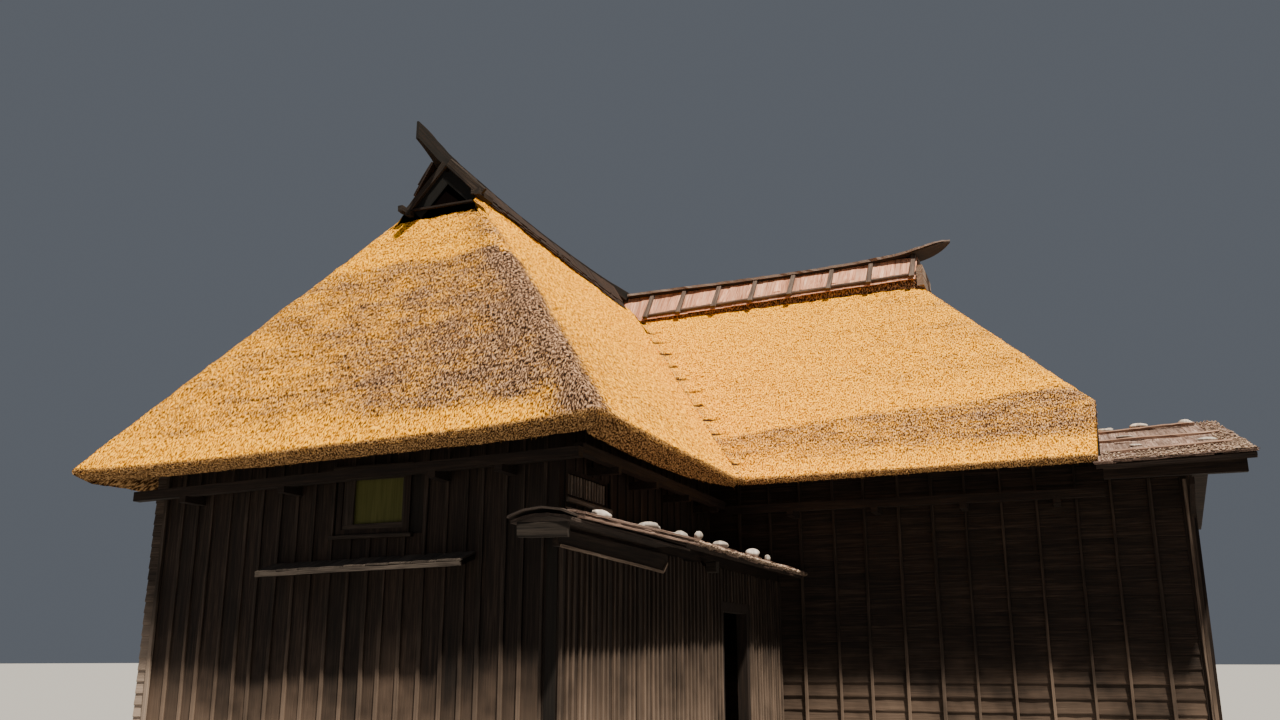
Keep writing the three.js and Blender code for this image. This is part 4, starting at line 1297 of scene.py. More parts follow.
    def loose(self, slope: Slope, slab: Surface) -> tuple[Surface, Surface]:
        """Straw stubs at a slope's eave, and stubs that stand out of its upper face.

        Args:
            slope: The slope.
            slab: Its slab.
        Returns:
            The eave's stubs, cut like the trimmed face, and the face's stubs, weathered like it.
        """
        random = np.random.default_rng(SEED + len(slope.node))
        step, _, side = self.profile(slope)
        grid = slab.points.reshape(len(step), slope.columns, 3)
        down, out = slope.direction(-1, -slope.pitch), slope.direction(-slope.pitch, 1)
        face = np.flatnonzero(side > 0)
        likely = 0.3 + 1.7 * (side[face] < 1)
        upper = np.flatnonzero((side == 0) & (step > 0.06))
        ends = int(np.linalg.norm(grid[face[-1], 0] - grid[face[-1], -1]) * self.eave_stubs)
        made = []
        for rows, odds, count, sunk, way, (low, high), spread, width in (
                (face, likely / likely.sum(), ends, down, down + 0.12 * out, (0.022, 0.055), 0.28, 0.009),
                (upper, None, self.face_stubs * slope.rows, out, 0.8 * down + 0.62 * out, (0.03, 0.055),
                 0.22, 0.010)):
            row = random.choice(rows, count, p=odds)
            column = random.integers(2, slope.columns - 2, count)
            roots = grid[row, column] - 0.012 * sunk
            reach = random.uniform(low, high, count)[:, None]
            tips = roots + reach * unit(way + random.normal(0, spread, (count, 3)))
            made.append(straws(roots, tips, width, SEED + 1 + len(made)))
        eave, loose = made
        eave.values["cut"] = np.full(len(eave.points), 0.85)
        loose.values["weather"] = np.repeat(slab.values["weather"].reshape(grid.shape[:2])[row, column], 4)
        return eave, loose

    def make(self) -> None:
        """Builds the six slabs and their loose straw."""
        stubs = []
        for slope in self.slopes():
            slab = self.shell(slope)
            name = slope.node.replace("_thatch", "_straw")
            build(name, [slab], "straw", [slope.node], smooth=True)
            stubs.append(self.loose(slope, slab))
        for name, shapes in zip(("eave_straw", "loose_straw"), zip(*stubs)):
            build(name, shapes, "straw")


def curve(wanted: Array, knots: Knots) -> Array:
    """A smooth line through knots, each a place and a height.

    Between two knots it is the cubic that has the mean slopes of the knots at its ends.

    Args:
        wanted: Where the line is wanted.
        knots: The knots, with rising places.
    Returns:
        The heights there.
    """
    at, height = np.array(knots, float).T
    slope = np.gradient(height, at)
    place = np.clip(wanted, at[0], at[-1])
    i = np.clip(np.searchsorted(at, place, "right") - 1, 0, len(at) - 2)
    width = at[i + 1] - at[i]
    t = (place - at[i]) / width
    return ((1 + 2 * t) * (1 - t) ** 2 * height[i] + t * (1 - t) ** 2 * width * slope[i]
            + t * t * (3 - 2 * t) * height[i + 1] + t * t * (t - 1) * width * slope[i + 1])


def cuts(start: float, end: float, pitch: float, spread: float, seed: int) -> Array:
    """Places from start to end that are about a pitch apart, moved at random by a share of it.

    Args:
        start: The first place.
        end: The last place.
        pitch: Their mean distance.
        spread: The greatest move, as a share of the pitch.
        seed: Which random values.
    Returns:
        The places.
    """
    count = max(int(round((end - start) / pitch)), 1)
    even = np.linspace(start, end, count + 1)
    even[1:-1] += np.random.default_rng(seed).uniform(-spread, spread, count - 1) * pitch
    return even


@dataclass(frozen=True)
class Ridge:
    """One capped ridge, worked out along its own axis.

    Attributes:
        axis: The axis that it runs along, 0 for X and 1 for Y.
        middle: Place of its middle line on the other axis.
        start: Where it starts.
        end: Where it ends.
        foot: Knots of the height of its foot.
        top: Knots of the height of its shoulder.
        half: Half its width at the foot.
        shoulder: Half its width at the shoulder.
        swell: How far the straw under its bark bulges, as a share.
        past: How far that straw runs past its end.
        age: How weathered that straw is.
    """

    axis: int
    middle: float
    start: float
    end: float
    foot: Knots
    top: Knots
    half: float = 0.45
    shoulder: float = 0.12
    swell: float = 1.0
    past: float = 0.0
    age: float = 0.9

    def point(self, along: Array, aside: Array, height: Array) -> Array:
        """Points from places along the ridge, beside its middle line, and up."""
        across = self.middle + aside
        return places(along, across, height) if self.axis == 0 else places(across, along, height)

    def across(self, wide: Array) -> Array:
        """Widths along the ridge as vectors."""
        vectors = np.zeros((len(wide), 3))
        vectors[:, self.axis] = wide
        return vectors

    def out(self, side: int, along: Array) -> Array:
        """Outward direction of the face on one side.

        Args:
            side: Which face, -1 or 1.
            along: Places along the ridge, shape (n,).
        Returns:
            Unit directions, shape (n, 3).
        """
        climb = curve(along, self.top) - curve(along, self.foot)
        run = self.half - self.shoulder
        length = np.hypot(climb, run)
        aside, up = side * climb / length, run / length
        return places(0, aside, up) if self.axis == 0 else places(aside, 0, up)

    def face(self, side: int, along: Array, share: Array, lift: Array) -> Array:
        """Points on a side's face, from share 0 at its foot to 1 at its shoulder, lifted off it.

        Args:
            side: Which face, -1 or 1.
            along: Places along the ridge.
            share: How far up the face.
            lift: How far off it.
        Returns:
            The points.
        """
        aside = side * (self.half + (self.shoulder - self.half) * share)
        foot = curve(along, self.foot)
        height = foot + (curve(along, self.top) - foot) * share
        return self.point(along, aside, height) + self.out(side, along) * np.asarray(lift)[..., None]

    def core(self, back: float = 0.0, deep: float = 0.26) -> Surface:
        """The body under the bark, reaching down into the thatch, from some way behind the start.

        Args:
            back: How far behind the ridge's start it starts.
            deep: How far it reaches down from the foot.
        Returns:
            The body.
        """
        along = np.linspace(self.start + back, self.end, 24)
        foot, top = curve(along, self.foot), curve(along, self.top)
        asides = np.array([-self.half, self.half, self.half, self.shoulder, -self.shoulder, -self.half])
        heights = np.stack([foot - deep, foot - deep, foot, top, top, foot], -1)
        return loft(self.point(along[:, None], asides[None], heights)[None], SEED)

    def sheets(self, side: int, width: float, low: tuple[float, float], high: tuple[float, float],
               thick: float, lift: float, seed: int) -> Members:
        """Bark sheets side by side down one face.

        Args:
            side: Which face, -1 or 1.
            width: Mean width of a sheet.
            low: Least and greatest share of the face where the sheets' lower ends are.
            high: The same for their upper ends.
            thick: Thickness of a sheet.
            lift: How far off the face they lie.
            seed: Which random values.
        Returns:
            The sheets.
        """
        random = np.random.default_rng(seed)
        edges = cuts(self.start, self.end, width, 0.34, seed)
        count = len(edges) - 1
        along = (edges[:-1] + edges[1:]) / 2
        slant = random.uniform(-0.012, 0.012, count)
        lifted = lift + random.uniform(0, 0.7, count) * thick
        lower = self.face(side, along + slant, random.uniform(*low, count), lifted + 0.004)
        upper = self.face(side, along - slant, random.uniform(*high, count), lifted)
        return Members(lower, upper, self.across(np.diff(edges) + 0.014), self.out(side, along) * thick,
                       7, 0.004, 0.003, seed)

    def battens(self, side: int, at: Array, foot: float, wide: float) -> Members:
        """Slim timbers that hold the bark down, their tails standing out under it.

        Args:
            side: Which face, -1 or 1.
            at: Their places along the ridge.
            foot: Share of the face where their tails end.
            wide: Their width.
        Returns:
            The timbers.
        """
        lower = self.face(side, at, np.full(len(at), foot), np.full(len(at), 0.085))
        upper = self.face(side, at, np.full(len(at), 1.02), np.full(len(at), 0.048))
        return Members(lower, upper, self.across(np.full(len(at), wide)), self.out(side, at) * 0.045,
                       8, 0.006, 0.003, SEED + side, 0.88)

    def poles(self, side: int, at: Array) -> Members:
        """Round foot poles from batten to batten.

        Args:
            side: Which face, -1 or 1.
            at: Places of the battens along the ridge.
        Returns:
            The poles.
        """
        low, high = (self.face(side, ends, np.full(len(ends), -0.10), np.full(len(ends), 0.045))
                     for ends in (at[:-1], at[1:]))
        out = self.out(side, at[1:])
        return Members(low, high, out * 0.062, np.cross(out, (1, 0, 0)) * 0.062, 6, 0.008, 0.003,
                       profile=Profile.ROUND)

    def roll(self, side: int, form: RoofForm, seed: int) -> Surface:
        """The straw under the bark's edge, from the bark down to the thatch, a little bulged.

        Args:
            side: Which face, -1 or 1.
            form: The roof's form.
            seed: Which random values.
        Returns:
            The straw.
        """
        along = np.linspace(self.start, self.end + self.past, 220)
        foot = curve(along, self.foot)
        place = self.point(along, side * (self.half + 0.12), foot)
        ground = form.height(place[:, 0], place[:, 1])
        bulge = np.array([-0.10, 0.03, 0.062, 0.088, 0.105, 0.125, 0.13, -0.10])
        bulge[1:-1] *= self.swell
        share = np.array([0.0, 0.0, 0.25, 0.48, 0.7, 0.86, 1.0, 1.1])
        upper = foot - 0.012
        heights = upper[:, None] + (ground - 0.01 - upper)[:, None] * share
        rings = self.point(along[:, None], side * (self.half + bulge)[None], heights)
        rough = 0.012 * layered(rings, 0.16, seed, 3) + 0.006 * noise(rings, 0.03, seed + 5)
        surface = loft((rings + self.out(side, along)[:, None] * rough[..., None])[None], seed)
        surface.values["weather"] = np.full(len(surface.points), self.age)
        return surface


@dataclass(frozen=True)
class Ridges:
    """Both ridges with their bark, battens, covers and horns, and the smoke gable's timber.

    Attributes:
        form: The roof's form.
        cover: Knots of the height of the main ridge's cover.
        main_battens: Places of the main ridge's battens.
        horn_top: Knots of the height of the front beam's upper face.
        horn_under: Knots of the height of its underside.
        inner_end: Where the front ridge's inner face ends at the main ridge.
        tip: Knots of half the cover's width, from a steady one to its closed tip.
    """

    form: RoofForm = RoofForm()
    cover: Knots = ((-3.02, 8.225), (-2.47, 8.232), (-0.73, 8.252), (0.91, 8.292), (1.6, 8.325),
                    (2.2, 8.375), (2.55, 8.45), (2.9, 8.57))
    main_battens: tuple[float, ...] = (-2.53, -1.90, -1.22, -0.54, 0.17, 0.87, 1.56, 2.29)
    horn_top: Knots = ((-3.93, 8.50), (-3.68, 8.46), (-3.47, 8.40), (-3.28, 8.325), (-3.1, 8.275),
                       (-2.77, 8.25), (-2.17, 8.215), (-1.67, 8.195), (-0.58, 8.17), (0.8, 8.18),
                       (2.11, 8.22), (3.21, 8.29), (3.85, 8.325))
    horn_under: Knots = ((-3.93, 8.25), (-3.72, 8.20), (-3.50, 8.14), (-3.34, 8.10), (-3.1, 8.09),
                         (-0.58, 8.05), (0.8, 8.06), (2.11, 8.09), (3.85, 8.115))
    inner_end: float = 2.45
    tip: Knots = ((-3.02, 0.25), (1.7, 0.25), (2.1, 0.275), (2.4, 0.30), (2.62, 0.265), (2.79, 0.16),
                  (2.9, 0.012))

    @property
    def main(self) -> Ridge:
        """The main wing's ridge, under its cover."""
        top = tuple((x, z - 0.062) for x, z in self.cover[:5]) + ((2.34, 8.29),)
        foot = (-3.1, 7.67), (-2.53, 7.69), (2.3, 7.86)
        return Ridge(0, self.form.ridge_y, -3.1, 2.34, foot, top, swell=0.42, past=0.06)

    @property
    def front(self) -> Ridge:
        """The front wing's ridge."""
        top = tuple((y, z - 0.085) for y, z in self.horn_top[4:])
        foot = (-3.35, 7.74), (-1.9, 7.75), (-0.8, 7.735), (0.6, 7.70), (2.25, 7.66), (3.85, 7.64)
        return Ridge(1, self.form.ridge_x, self.form.gable + 0.04, 3.85, foot, top, half=0.39, swell=0.4,
                     age=-0.3)

    def front_face(self, side: int) -> Ridge:
        """The front ridge as far as one of its faces runs; the inner one ends at the main ridge."""
        return replace(self.front, end=self.inner_end) if side > 0 else self.front

    def main_pieces(self) -> None:
        """The main wing's bark, pressed down by battens and foot poles, and the blocks at its end."""
        ridge, at, middle = self.main, np.array(self.main_battens), self.form.ridge_y
        sheets = [ridge.core()]
        for side in (-1, 1):
            sheets += [ridge.sheets(side, 0.15, (-0.27, -0.23), (0.97, 1.0), 0.010, 0.008, SEED + side),
                       ridge.sheets(side, 0.085, (-0.23, 0.20), (0.72, 1.0), 0.007, 0.016, SEED + 3 * side)]
        build("main_ridge_bark", sheets, "ridge_bark", ["main_ridge_cap"])
        strips = [ridge.battens(side, at, -0.29, 0.085) for side in (-1, 1)]
        poles = [ridge.poles(side, at) for side in (-1, 1)]
        build("main_ridge_battens", strips + poles, "batten")
        half = np.array([0.49, 0.53])
        starts, ends = (places((2.41, 2.42), middle + side * half, (7.93, 7.735)) for side in (-1, 1))
        blocks = Members(starts, ends, (0.115, 0, 0.006), (0, 0, 0.18), 5, 0.004, 0.005)
        board = Members((2.36, middle, 7.7), (2.36, middle, 8.26), (0, 0.72, 0), (0.03, 0, 0),
                        bow=0, rough=0.003, taper=0.35)
        build("main_ridge_end", [blocks, board], "worn_and_lit_timber")

    def main_cover(self) -> None:
        """The main ridge's cover: weathered bark on a board painted near-black as shade, ending in a slim
        upturned horn.

        A ring at x has half the width of the tip's curve and follows the cover's height. Towards
        the tip the thickness falls, and the board under the bark draws closer to it.
        """
        along = np.concatenate([np.linspace(-3.02, 1.6, 50), np.linspace(1.66, 2.9, 40)])[:, None]
        share = np.clip((along - 1.9) / 1.0, 0, 1)
        half, height = curve(along, self.tip), curve(along, self.cover)
        outline = np.array([-1, -0.5, 0, 0.5, 1, 1, 0.5, 0, -0.5, -1])
        crown = np.array([0, 0.007, 0.010, 0.007, 0, 0, 0.007, 0.010, 0.007, 0])
        lower = np.repeat([0.0, 1.0], 5)
        # The board under the cover is finished near-black as painted shade under the cover's edge.
        for name, finish, slot, stood_for, wide, down, thick, ragged in (
                ("cover", "ridge_cover", "cedar_bark", ["main_ridge_pole"], 1.0, 0.0, 0.044, 0.012),
                ("board", "shade_board", "dark_timber", [], 0.93, 0.045, 0.028, 0.002)):
            across = outline * wide
            thin = thick * (1 - 0.45 * share)
            rings = places(along, self.form.ridge_y + half * across,
                           height + crown - down * (1 - 0.4 * share) - lower * thin)
            rings[..., 1] += ragged * noise(rings, 0.045, SEED) * np.sign(across) * (half > 0.05)
            rings[..., 2] += 0.35 * ragged * noise(rings, 0.06, SEED + 1)
            build(f"main_ridge_{name}", [loft(rings[None], SEED)], finish, stood_for)

    def front_pieces(self) -> None:
        """The front wing's rough dark bark in ragged layers, and its beam with the horn."""
        ridge = self.front
        sheets = [replace(ridge, end=self.inner_end).core(0.6),
                  replace(ridge, start=self.inner_end, middle=ridge.middle - 0.12, half=0.27).core()]
        layers = ((0.20, (-0.10, -0.02), (0.95, 1.0), 0.016, 0.004),
                  (0.17, (-0.04, 0.06), (0.95, 1.0), 0.014, 0.018),
                  (0.23, (0.10, 0.34), (0.93, 1.0), 0.014, 0.030))
        for side in (-1, 1):
            sheets += [self.front_face(side).sheets(side, *layer, SEED + (2 * i + 1) * side)
                       for i, layer in enumerate(layers)]
        build("front_ridge_bark", sheets, "rough_bark", ["front_ridge_cap"])
        along = np.concatenate([np.linspace(-3.93, -2.8, 40), np.linspace(-2.7, 3.85, 60)])
        upper, under = curve(along, self.horn_top), curve(along, self.horn_under)
        half = np.interp(along, (-3.93, -3.5, -3.1), (0.018, 0.04, 0.115))[:, None]
        chamfer = 0.008
        across = half * np.array([-1, 1, 1, 1, -1, -1]) + chamfer * np.array([0, 0, 0, -1, 1, 0])
        heights = np.stack([under, under, upper - chamfer, upper, upper, upper - chamfer], -1)
        rings = places(self.form.ridge_x + across, along[:, None], heights)
        rings += 0.0035 * shaken(rings, (0.05, 0.4, 0.05), SEED)
        beam = loft(rings[None], SEED)
        build("front_ridge_beam", [beam], "ridge_beam", ["front_ridge_pole"])

    def gable(self) -> None:
        """The smoke gable's boards and a near-black lining of painted shade, with the ends of its small
        beams.
        """
        face = self.form.gable
        boards, lining = [], []
        for side, aside, low, share in ((-1, -0.46, 7.46, 0.6), (1, 0.72, 7.57, 0.85)):
            top = np.array([self.form.ridge_x + 0.15 + side * 0.03, face - 0.045, 8.09])
            foot = np.array([self.form.ridge_x + aside, face - 0.045, low])
            across = np.cross(unit(foot - top), (0, 1, 0)) * 0.15
            boards.append(Members(top, foot, across * share, (0, -0.05, 0), 9, 0.006, 0.003, SEED + side))
            # The lining behind the boards is near-black, painted shade in the mouth.
            lining.append(Members(top + np.array([-0.02 * side, 0.03, -0.12]),
                                  foot + np.array([-0.12 * side, 0.03, -0.02]), across * 1.7, (0, -0.02, 0),
                                  5, 0.004, 0.002, SEED + 2 * side))
        x, out, z = np.array([
            [-3.65, 0.16, 7.49], [-3.56, 0.10, 7.43], [-2.49, 0.12, 7.57], [-2.57, 0.07, 7.61]]).T
        blocks = Members(places(x, face + 0.25, z), places(x, face - out, z), (0.08, 0, 0), (0, 0, 0.08),
                         5, 0.004, 0.004)
        build("gable_shade_lining", lining, "shade_lining")
        build("gable_boards", boards, "gable_board", ["left_bargeboard", "right_bargeboard"])
        build("gable_beam_ends", [blocks], "gable_board")

    def make(self) -> None:
        """Builds both ridges and the gable."""
        self.main_pieces()
        self.main_cover()
        self.front_pieces()
        self.gable()
        rolls = [ridge.roll(side, self.form, SEED + side) for side in (-1, 1)
                 for ridge in (self.main, self.front_face(side))]
        build("ridge_straw", rolls, "straw", smooth=True)


@dataclass(frozen=True)
class Face:
    """The outer face of a wall that gets boards.

    Attributes:
        start: Plan place where it starts.
        end: Plan place where it ends.
        out: Outward direction in plan.
        top: Knots of the height of the boards' upper ends, each a share of the length and a height.
        holes: Openings, each from, to, bottom and top, along the face and up.
        low: Height of its foot.
    """

    start: tuple[float, float]
    end: tuple[float, float]
    out: tuple[float, float]
    top: Knots
    holes: tuple[tuple[float, float, float, float], ...] = ()
    low: float = 0.0

    @property
    def length(self) -> float:
        """Its length."""
        return math.dist(self.start, self.end)

    @property
    def along(self) -> Array:
        """Direction from its start to its end."""
        return np.array([*(np.array(self.end) - self.start) / self.length, 0.0])

    @property
    def outward(self) -> Array:
        """Outward direction in space."""
        return np.array([*self.out, 0.0])

    def at(self, run: Array, height: Array, off: Array) -> Array:
        """Points at runs along the face, heights, and distances off it.

        Args:
            run: How far along the face.
            height: How high.
            off: How far off it.
        Returns:
            The points.
        """
        run, height, off = np.broadcast_arrays(np.asarray(run, float), height, off)
        plan = np.array([*self.start, 0.0]) + run[..., None] * self.along + off[..., None] * self.outward
        return plan + height[..., None] * np.array([0, 0, 1.0])

    def upper(self, run: Array) -> Array:
        """Height of the boards' upper ends."""
        return np.interp(np.asarray(run) / self.length, *zip(*self.top))

    def spans(self, low: float, high: float, left: float, right: float) -> list[tuple[float, float]]:
        """The parts of an upright board from low to high that no opening takes.

        Args:
            low: Height of the board's foot.
            high: Height of its upper end.
            left: Place of its left edge along the face.
            right: Place of its right edge.
        Returns:
            The lower and upper height of each part.
        """
        for near, far, bottom, top in self.holes:
            if left < far - 0.01 and right > near + 0.01 and bottom < high and top > low:
                return [s for s in ((low, bottom), (top, high)) if s[1] - s[0] > 0.05]
        return [(low, high)]

    def upright(self, pitch: float, batten: float, seed: int) -> tuple[Members, Members]:
        """Upright boards with battens over their joints.

        Args:
            pitch: Mean width of a board.
            batten: Width of a batten.
            seed: Which random values.
        Returns:
            The boards and the battens.
        """
        edges = cuts(0.0, self.length, pitch, 0.12, seed)
        random = np.random.default_rng(seed)
        rows = []
        for left, right in zip(edges[:-1], edges[1:]):
            high = float(self.upper((left + right) / 2)) - random.uniform(0, 0.02)
            rows += [((left + right) / 2, right - left - 0.006, low, top)
                     for low, top in self.spans(self.low, high, left, right)]
        middle, wide, low, high = np.array(rows).T
        lean = random.uniform(-0.004, 0.004, len(rows))
        off = 0.011 + random.uniform(0, 0.006, len(rows))
        boards = Members(self.at(middle + lean, low, off), self.at(middle - lean, high, off),
                         wide[:, None] * self.along, 0.022 * self.outward, 9, 0.003, 0.0015, seed)
        joints = []
        for edge in edges:
            high = float(self.upper(edge)) - random.uniform(0, 0.03)
            joints += [(edge, *span)
                       for span in self.spans(self.low, high, edge - batten / 2, edge + batten / 2)]
        place, low, high = np.array(joints).T
        lean = random.uniform(-0.006, 0.006, len(joints))
        wide = batten * random.uniform(0.85, 1.15, len(joints))
        battens = Members(self.at(place + lean, low, 0.036), self.at(place - lean, high, 0.036),
                          wide[:, None] * self.along, 0.022 * self.outward, 9, 0.005, 0.0015, seed + 1)
        return boards, battens

    def lapped(self, lap: float, at: Array, batten: float, seed: int) -> tuple[Members, Members]:
        """Lapped boards lying one above the other, held by upright battens.

        Args:
            lap: Height that each board shows.
            at: Places of the battens along the face.
            batten: Width of a batten.
            seed: Which random values.
        Returns:
            The boards and the battens.
        """
        random = np.random.default_rng(seed)
        stops = np.unique(np.clip([0.0, self.length, *at], 0, self.length))
        rows = []
        for level in np.arange(self.low, max(h for _, h in self.top) - 0.06, lap):
            skip = random.integers(2, 5)
            ends = np.unique(np.concatenate([stops[:1], stops[random.integers(1, 4):-1:skip], stops[-1:]]))
            for left, right in zip(ends[:-1], ends[1:]):
                room = float(min(self.upper(left), self.upper(right)))
                if right - left > 0.03 and room - level > 0.06:
                    rows.append((left + 0.003, right - 0.003, level, min(lap + 0.03, room - level)))
        left, right, level, tall = np.array(rows).T
        tilt = random.uniform(-0.004, 0.004, (2, len(rows)))
        off = 0.012 + random.uniform(0, 0.004, len(rows))
        near, far = (self.at(end, level + tall / 2 + tip, off) for end, tip in zip((left, right), tilt))
        boards = Members(near, far, tall[:, None] * np.array([0, 0, 1.0]), 0.024 * self.outward,
                         9, 0.003, 0.0025, seed, profile=Profile.LAPPED)
        high = self.upper(at) - random.uniform(0, 0.03, len(at))
        lean = random.uniform(-0.008, 0.008, len(at))
        wide = batten * random.uniform(0.85, 1.2, len(at))
        posts = Members(self.at(at + lean, self.low, 0.042), self.at(at - lean, high, 0.042),
                        wide[:, None] * self.along, 0.03 * self.outward, 11, 0.007, 0.002, seed + 1)
        return boards, posts


@dataclass(frozen=True)
class Walls:
    """The boards, battens, lattice and window bars on the walls.

    Attributes:
        form: The roof's form.
        gap: How far under the thatch the boards end.
        front: Where the front wing's side faces start along Y.
        back: Where the faces along Y end.
        corner: Where the end bay's faces end along X.
        bay_pitch: Rise of the end bay's roof.
        lap: Height that a lapped board shows; the left wall's show less.
        left_lap: The same on the left wall.
        main_battens: Places of the main front wall's battens along X.
    """

    form: RoofForm = RoofForm()
    gap: float = 0.03
    front: float = -4.88
    back: float = 6.68
    corner: float = 5.77
    bay_pitch: float = 0.273
    lap: float = 0.179
    left_lap: float = 0.13
    main_battens: tuple[float, ...] = (
        0.02, 0.47, 0.91, 1.38, 1.80, 2.27, 2.72, 3.15, 3.61, 4.05, 4.54, 4.96, 5.42, 5.86)

    def under(self, height: float, pitch: float) -> float:
        """Height just under a thatched slope, from its upper face and its pitch."""
        return float(height) - self.form.drop * (1 + pitch ** 2) - self.gap

    def faces(self) -> dict[str, Face]:
        """All faces, by name, from the walls' boxes."""
        form, off = self.form, 0.05
        (near, front, _), (far, _, _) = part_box("front_wall")
        left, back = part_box("left_wall")[0].x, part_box("back_wall")[1].y
        inner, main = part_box("inner_side_wall")[1].x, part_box("main_front_wall")[0].y
        end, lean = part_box("end_bay_wall")[1].x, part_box("lean_to_near_wall")[1].x
        (x, _, low), (x_end, _, high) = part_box("window_frame")
        window = (x - near - 0.02, x_end - near + 0.02, low, high)
        (_, y, low), (_, y_end, high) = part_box("lattice_frame")
        lattice = (y - self.front, y_end - self.front, low, high)
        front_top = [self.under(form.hip(x, front - off), form.hip_pitch) for x in (near, far)]
        inner_top = self.under(form.inner(inner + off, 0), form.inner_pitch)
        left_top = self.under(form.left(left - off, 0), form.left_pitch)
        main_top = [self.under(form.main_front(x, main - off), form.main_pitch) for x in (inner, form.end)]
        bay = 3.88 + self.bay_pitch * (main + 0.7) - 0.073 - self.gap
        corner = bay + 0.03 * (self.corner - form.end)
        peak = corner + self.bay_pitch * (form.ridge_y - main)
        step, back_step = ((form.end - x) / (self.corner - x) for x in (inner, left))
        faces = {
            "front_wall": Face((near, front), (far, front), (0, -1),
                               ((0, front_top[0]), (1, front_top[1])), (window,)),
            "inner_side_wall": Face((inner, self.front), (inner, -0.03), (1, 0),
                                    ((0, inner_top), (1, inner_top)), (lattice,)),
            "left_wall": Face((left, self.back), (left, self.front), (-1, 0), ((0, left_top), (1, left_top))),
            "main_front_wall": Face((inner + 0.03, main), (self.corner, main), (0, -1), (
                (0, main_top[0]), (step, main_top[1]), (step + 0.001, bay), (1, corner))),
            "back_wall": Face((-5.70, back), (self.corner, back), (0, 1), (
                (0, main_top[0] - 0.09), (back_step, main_top[1]), (back_step + 0.001, bay), (1, corner))),
            "end_bay_wall": Face((end, 0.12), (end, self.back), (1, 0), (
                (0, corner + 0.03), (0.5, peak), (1, corner + 0.03))),
        }
        for name, inset, start, stop, out, low in (
                ("near_wall", 0.0, -7.10, -2.76, 1, 0.0), ("far_wall", 0.0, -1.57, -0.06, 1, 0.0),
                ("over_door", 0.0, -2.75, -1.58, 1, 2.215), ("inner_face", 0.1, -7.10, -2.76, -1, 0.0)):
            x, top = lean - inset, 2.60
            faces[f"lean_to_{name}"] = Face((x, start), (x, stop), (out, 0), ((0, top), (1, top)), (), low)
        return faces

    def cladding(self) -> None:
        """Boards on every outer face: upright on the front wing and lean-to, lapped elsewhere."""
        wing, lean_to = (0.245, 0.045), (0.125, 0.035)
        upright = {"front_wall": wing, "inner_side_wall": wing, "lean_to_near_wall": lean_to,
                   "lean_to_far_wall": lean_to, "lean_to_over_door": lean_to,
                   "lean_to_inner_face": (0.19, 0.04)}
        for i, (name, face) in enumerate(self.faces().items()):
            at = np.arange(0.25, face.length, 0.455)
            if name == "main_front_wall":
                at = np.array(self.main_battens) - face.start[0]
            lap = self.left_lap if name == "left_wall" else self.lap
            seed = SEED + 10 * i
            laid, held = (face.upright(*upright[name], seed) if name in upright
                          else face.lapped(lap, at, 0.038, seed))
            # Near-black boards, partly age and soot, partly painted shade under the eaves, with a paler foot
            # that is partly painted sunlight.
            build(f"{name}_boards", [laid], "old_shaded_boards")
            build(f"{name}_battens", [held], "old_shaded_battens")

    def corners(self) -> None:
        """Short laps and a batten on the front wall's left corner, and a batten on the end post."""
        low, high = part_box("front_left_post")
        start = places(low.x, low.y - 0.010, np.arange(0.0, 3.98, self.left_lap) + 0.08)
        laps = Members(start, start + np.array([0.145, 0, 0]), (0, 0, 0.16), (0, -0.022, 0), 4, 0.002, 0.002,
                       SEED + 3, profile=Profile.LAPPED)
        stick = Members((high.x + 0.02, low.y - 0.02, 0), (high.x + 0.015, low.y - 0.02, 4.05), (0.05, 0, 0),
                        (0, -0.035, 0), 12, 0.006, 0.002)
        # The laps' paler foot is painted sunlight below the eave's shade.
        build("front_corner_laps", [laps, stick], "corner_laps")
        low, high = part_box("end_front_post")
        batten = Members((high.x - 0.08, low.y - 0.012, 0), (high.x - 0.085, low.y - 0.012, 3.74),
                         (0.062, 0, 0), (0, -0.022, 0), 12, 0.006, 0.002, SEED + 1)
        build("end_post_batten", [batten], "post_batten")

    def window(self) -> None:
        """The sash around the window's pane, broad on the left, with a head over it and a sill."""
        low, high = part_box("window_frame")
        y, x, z = low.y + 0.022, (low.x + 0.145, high.x - 0.082), (low.z + 0.098, high.z - 0.094)
        uprights = Members(places(x, y, low.z + 0.06), places(x, y, high.z - 0.06),
                           np.array([[0.14, 0, 0], [0.04, 0, 0]]), (0, -0.02, 0))
        rails = Members(places(low.x + 0.07, y, z), places(high.x - 0.07, y, z),
                        np.array([[0, 0, 0.07], [0, 0, 0.055]]), (0, -0.022, 0))
        y = low.y - 0.015
        sill = Members((low.x - 0.06, y, low.z - 0.012), (high.x + 0.06, y, low.z - 0.018),
                       (0, 0, 0.045), (0, -0.075, 0), 8, 0.003, 0.003)
        y = low.y - 0.01
        head = Members((low.x - 0.05, y, high.z + 0.012), (high.x + 0.05, y, high.z + 0.01),
                       (0, 0, 0.05), (0, -0.05, 0), 8, 0.003, 0.003, SEED + 1)
        build("window_bars", [uprights, rails, sill, head], "window_bars")

    def lattice(self) -> None:
        """Thirteen upright bars in the side window, two cross bars behind them, and its pale sill."""
        low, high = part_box("lattice_frame")
        x, y = high.x - 0.02, np.linspace(low.y + 0.085, high.y - 0.085, 13)
        z = low.z + 0.115, low.z + 0.20
        bars = Members(places(x, y, low.z + 0.05), places(x, y, high.z - 0.05), (0, 0.024, 0), (0.026, 0, 0))
        cross = Members(places(x - 0.022, low.y + 0.06, z), places(x - 0.022, high.y - 0.06, z),
                        (0, 0, 0.02), (0.014, 0, 0))
        x = high.x + 0.012
        sill = Members((x, low.y - 0.03, low.z - 0.02), (x, high.y + 0.04, low.z - 0.015),
                       (0, 0, 0.05), (0.07, 0, 0), 10, 0.004, 0.003)
        build("lattice_bars", [bars, cross, sill], "lattice_bars")

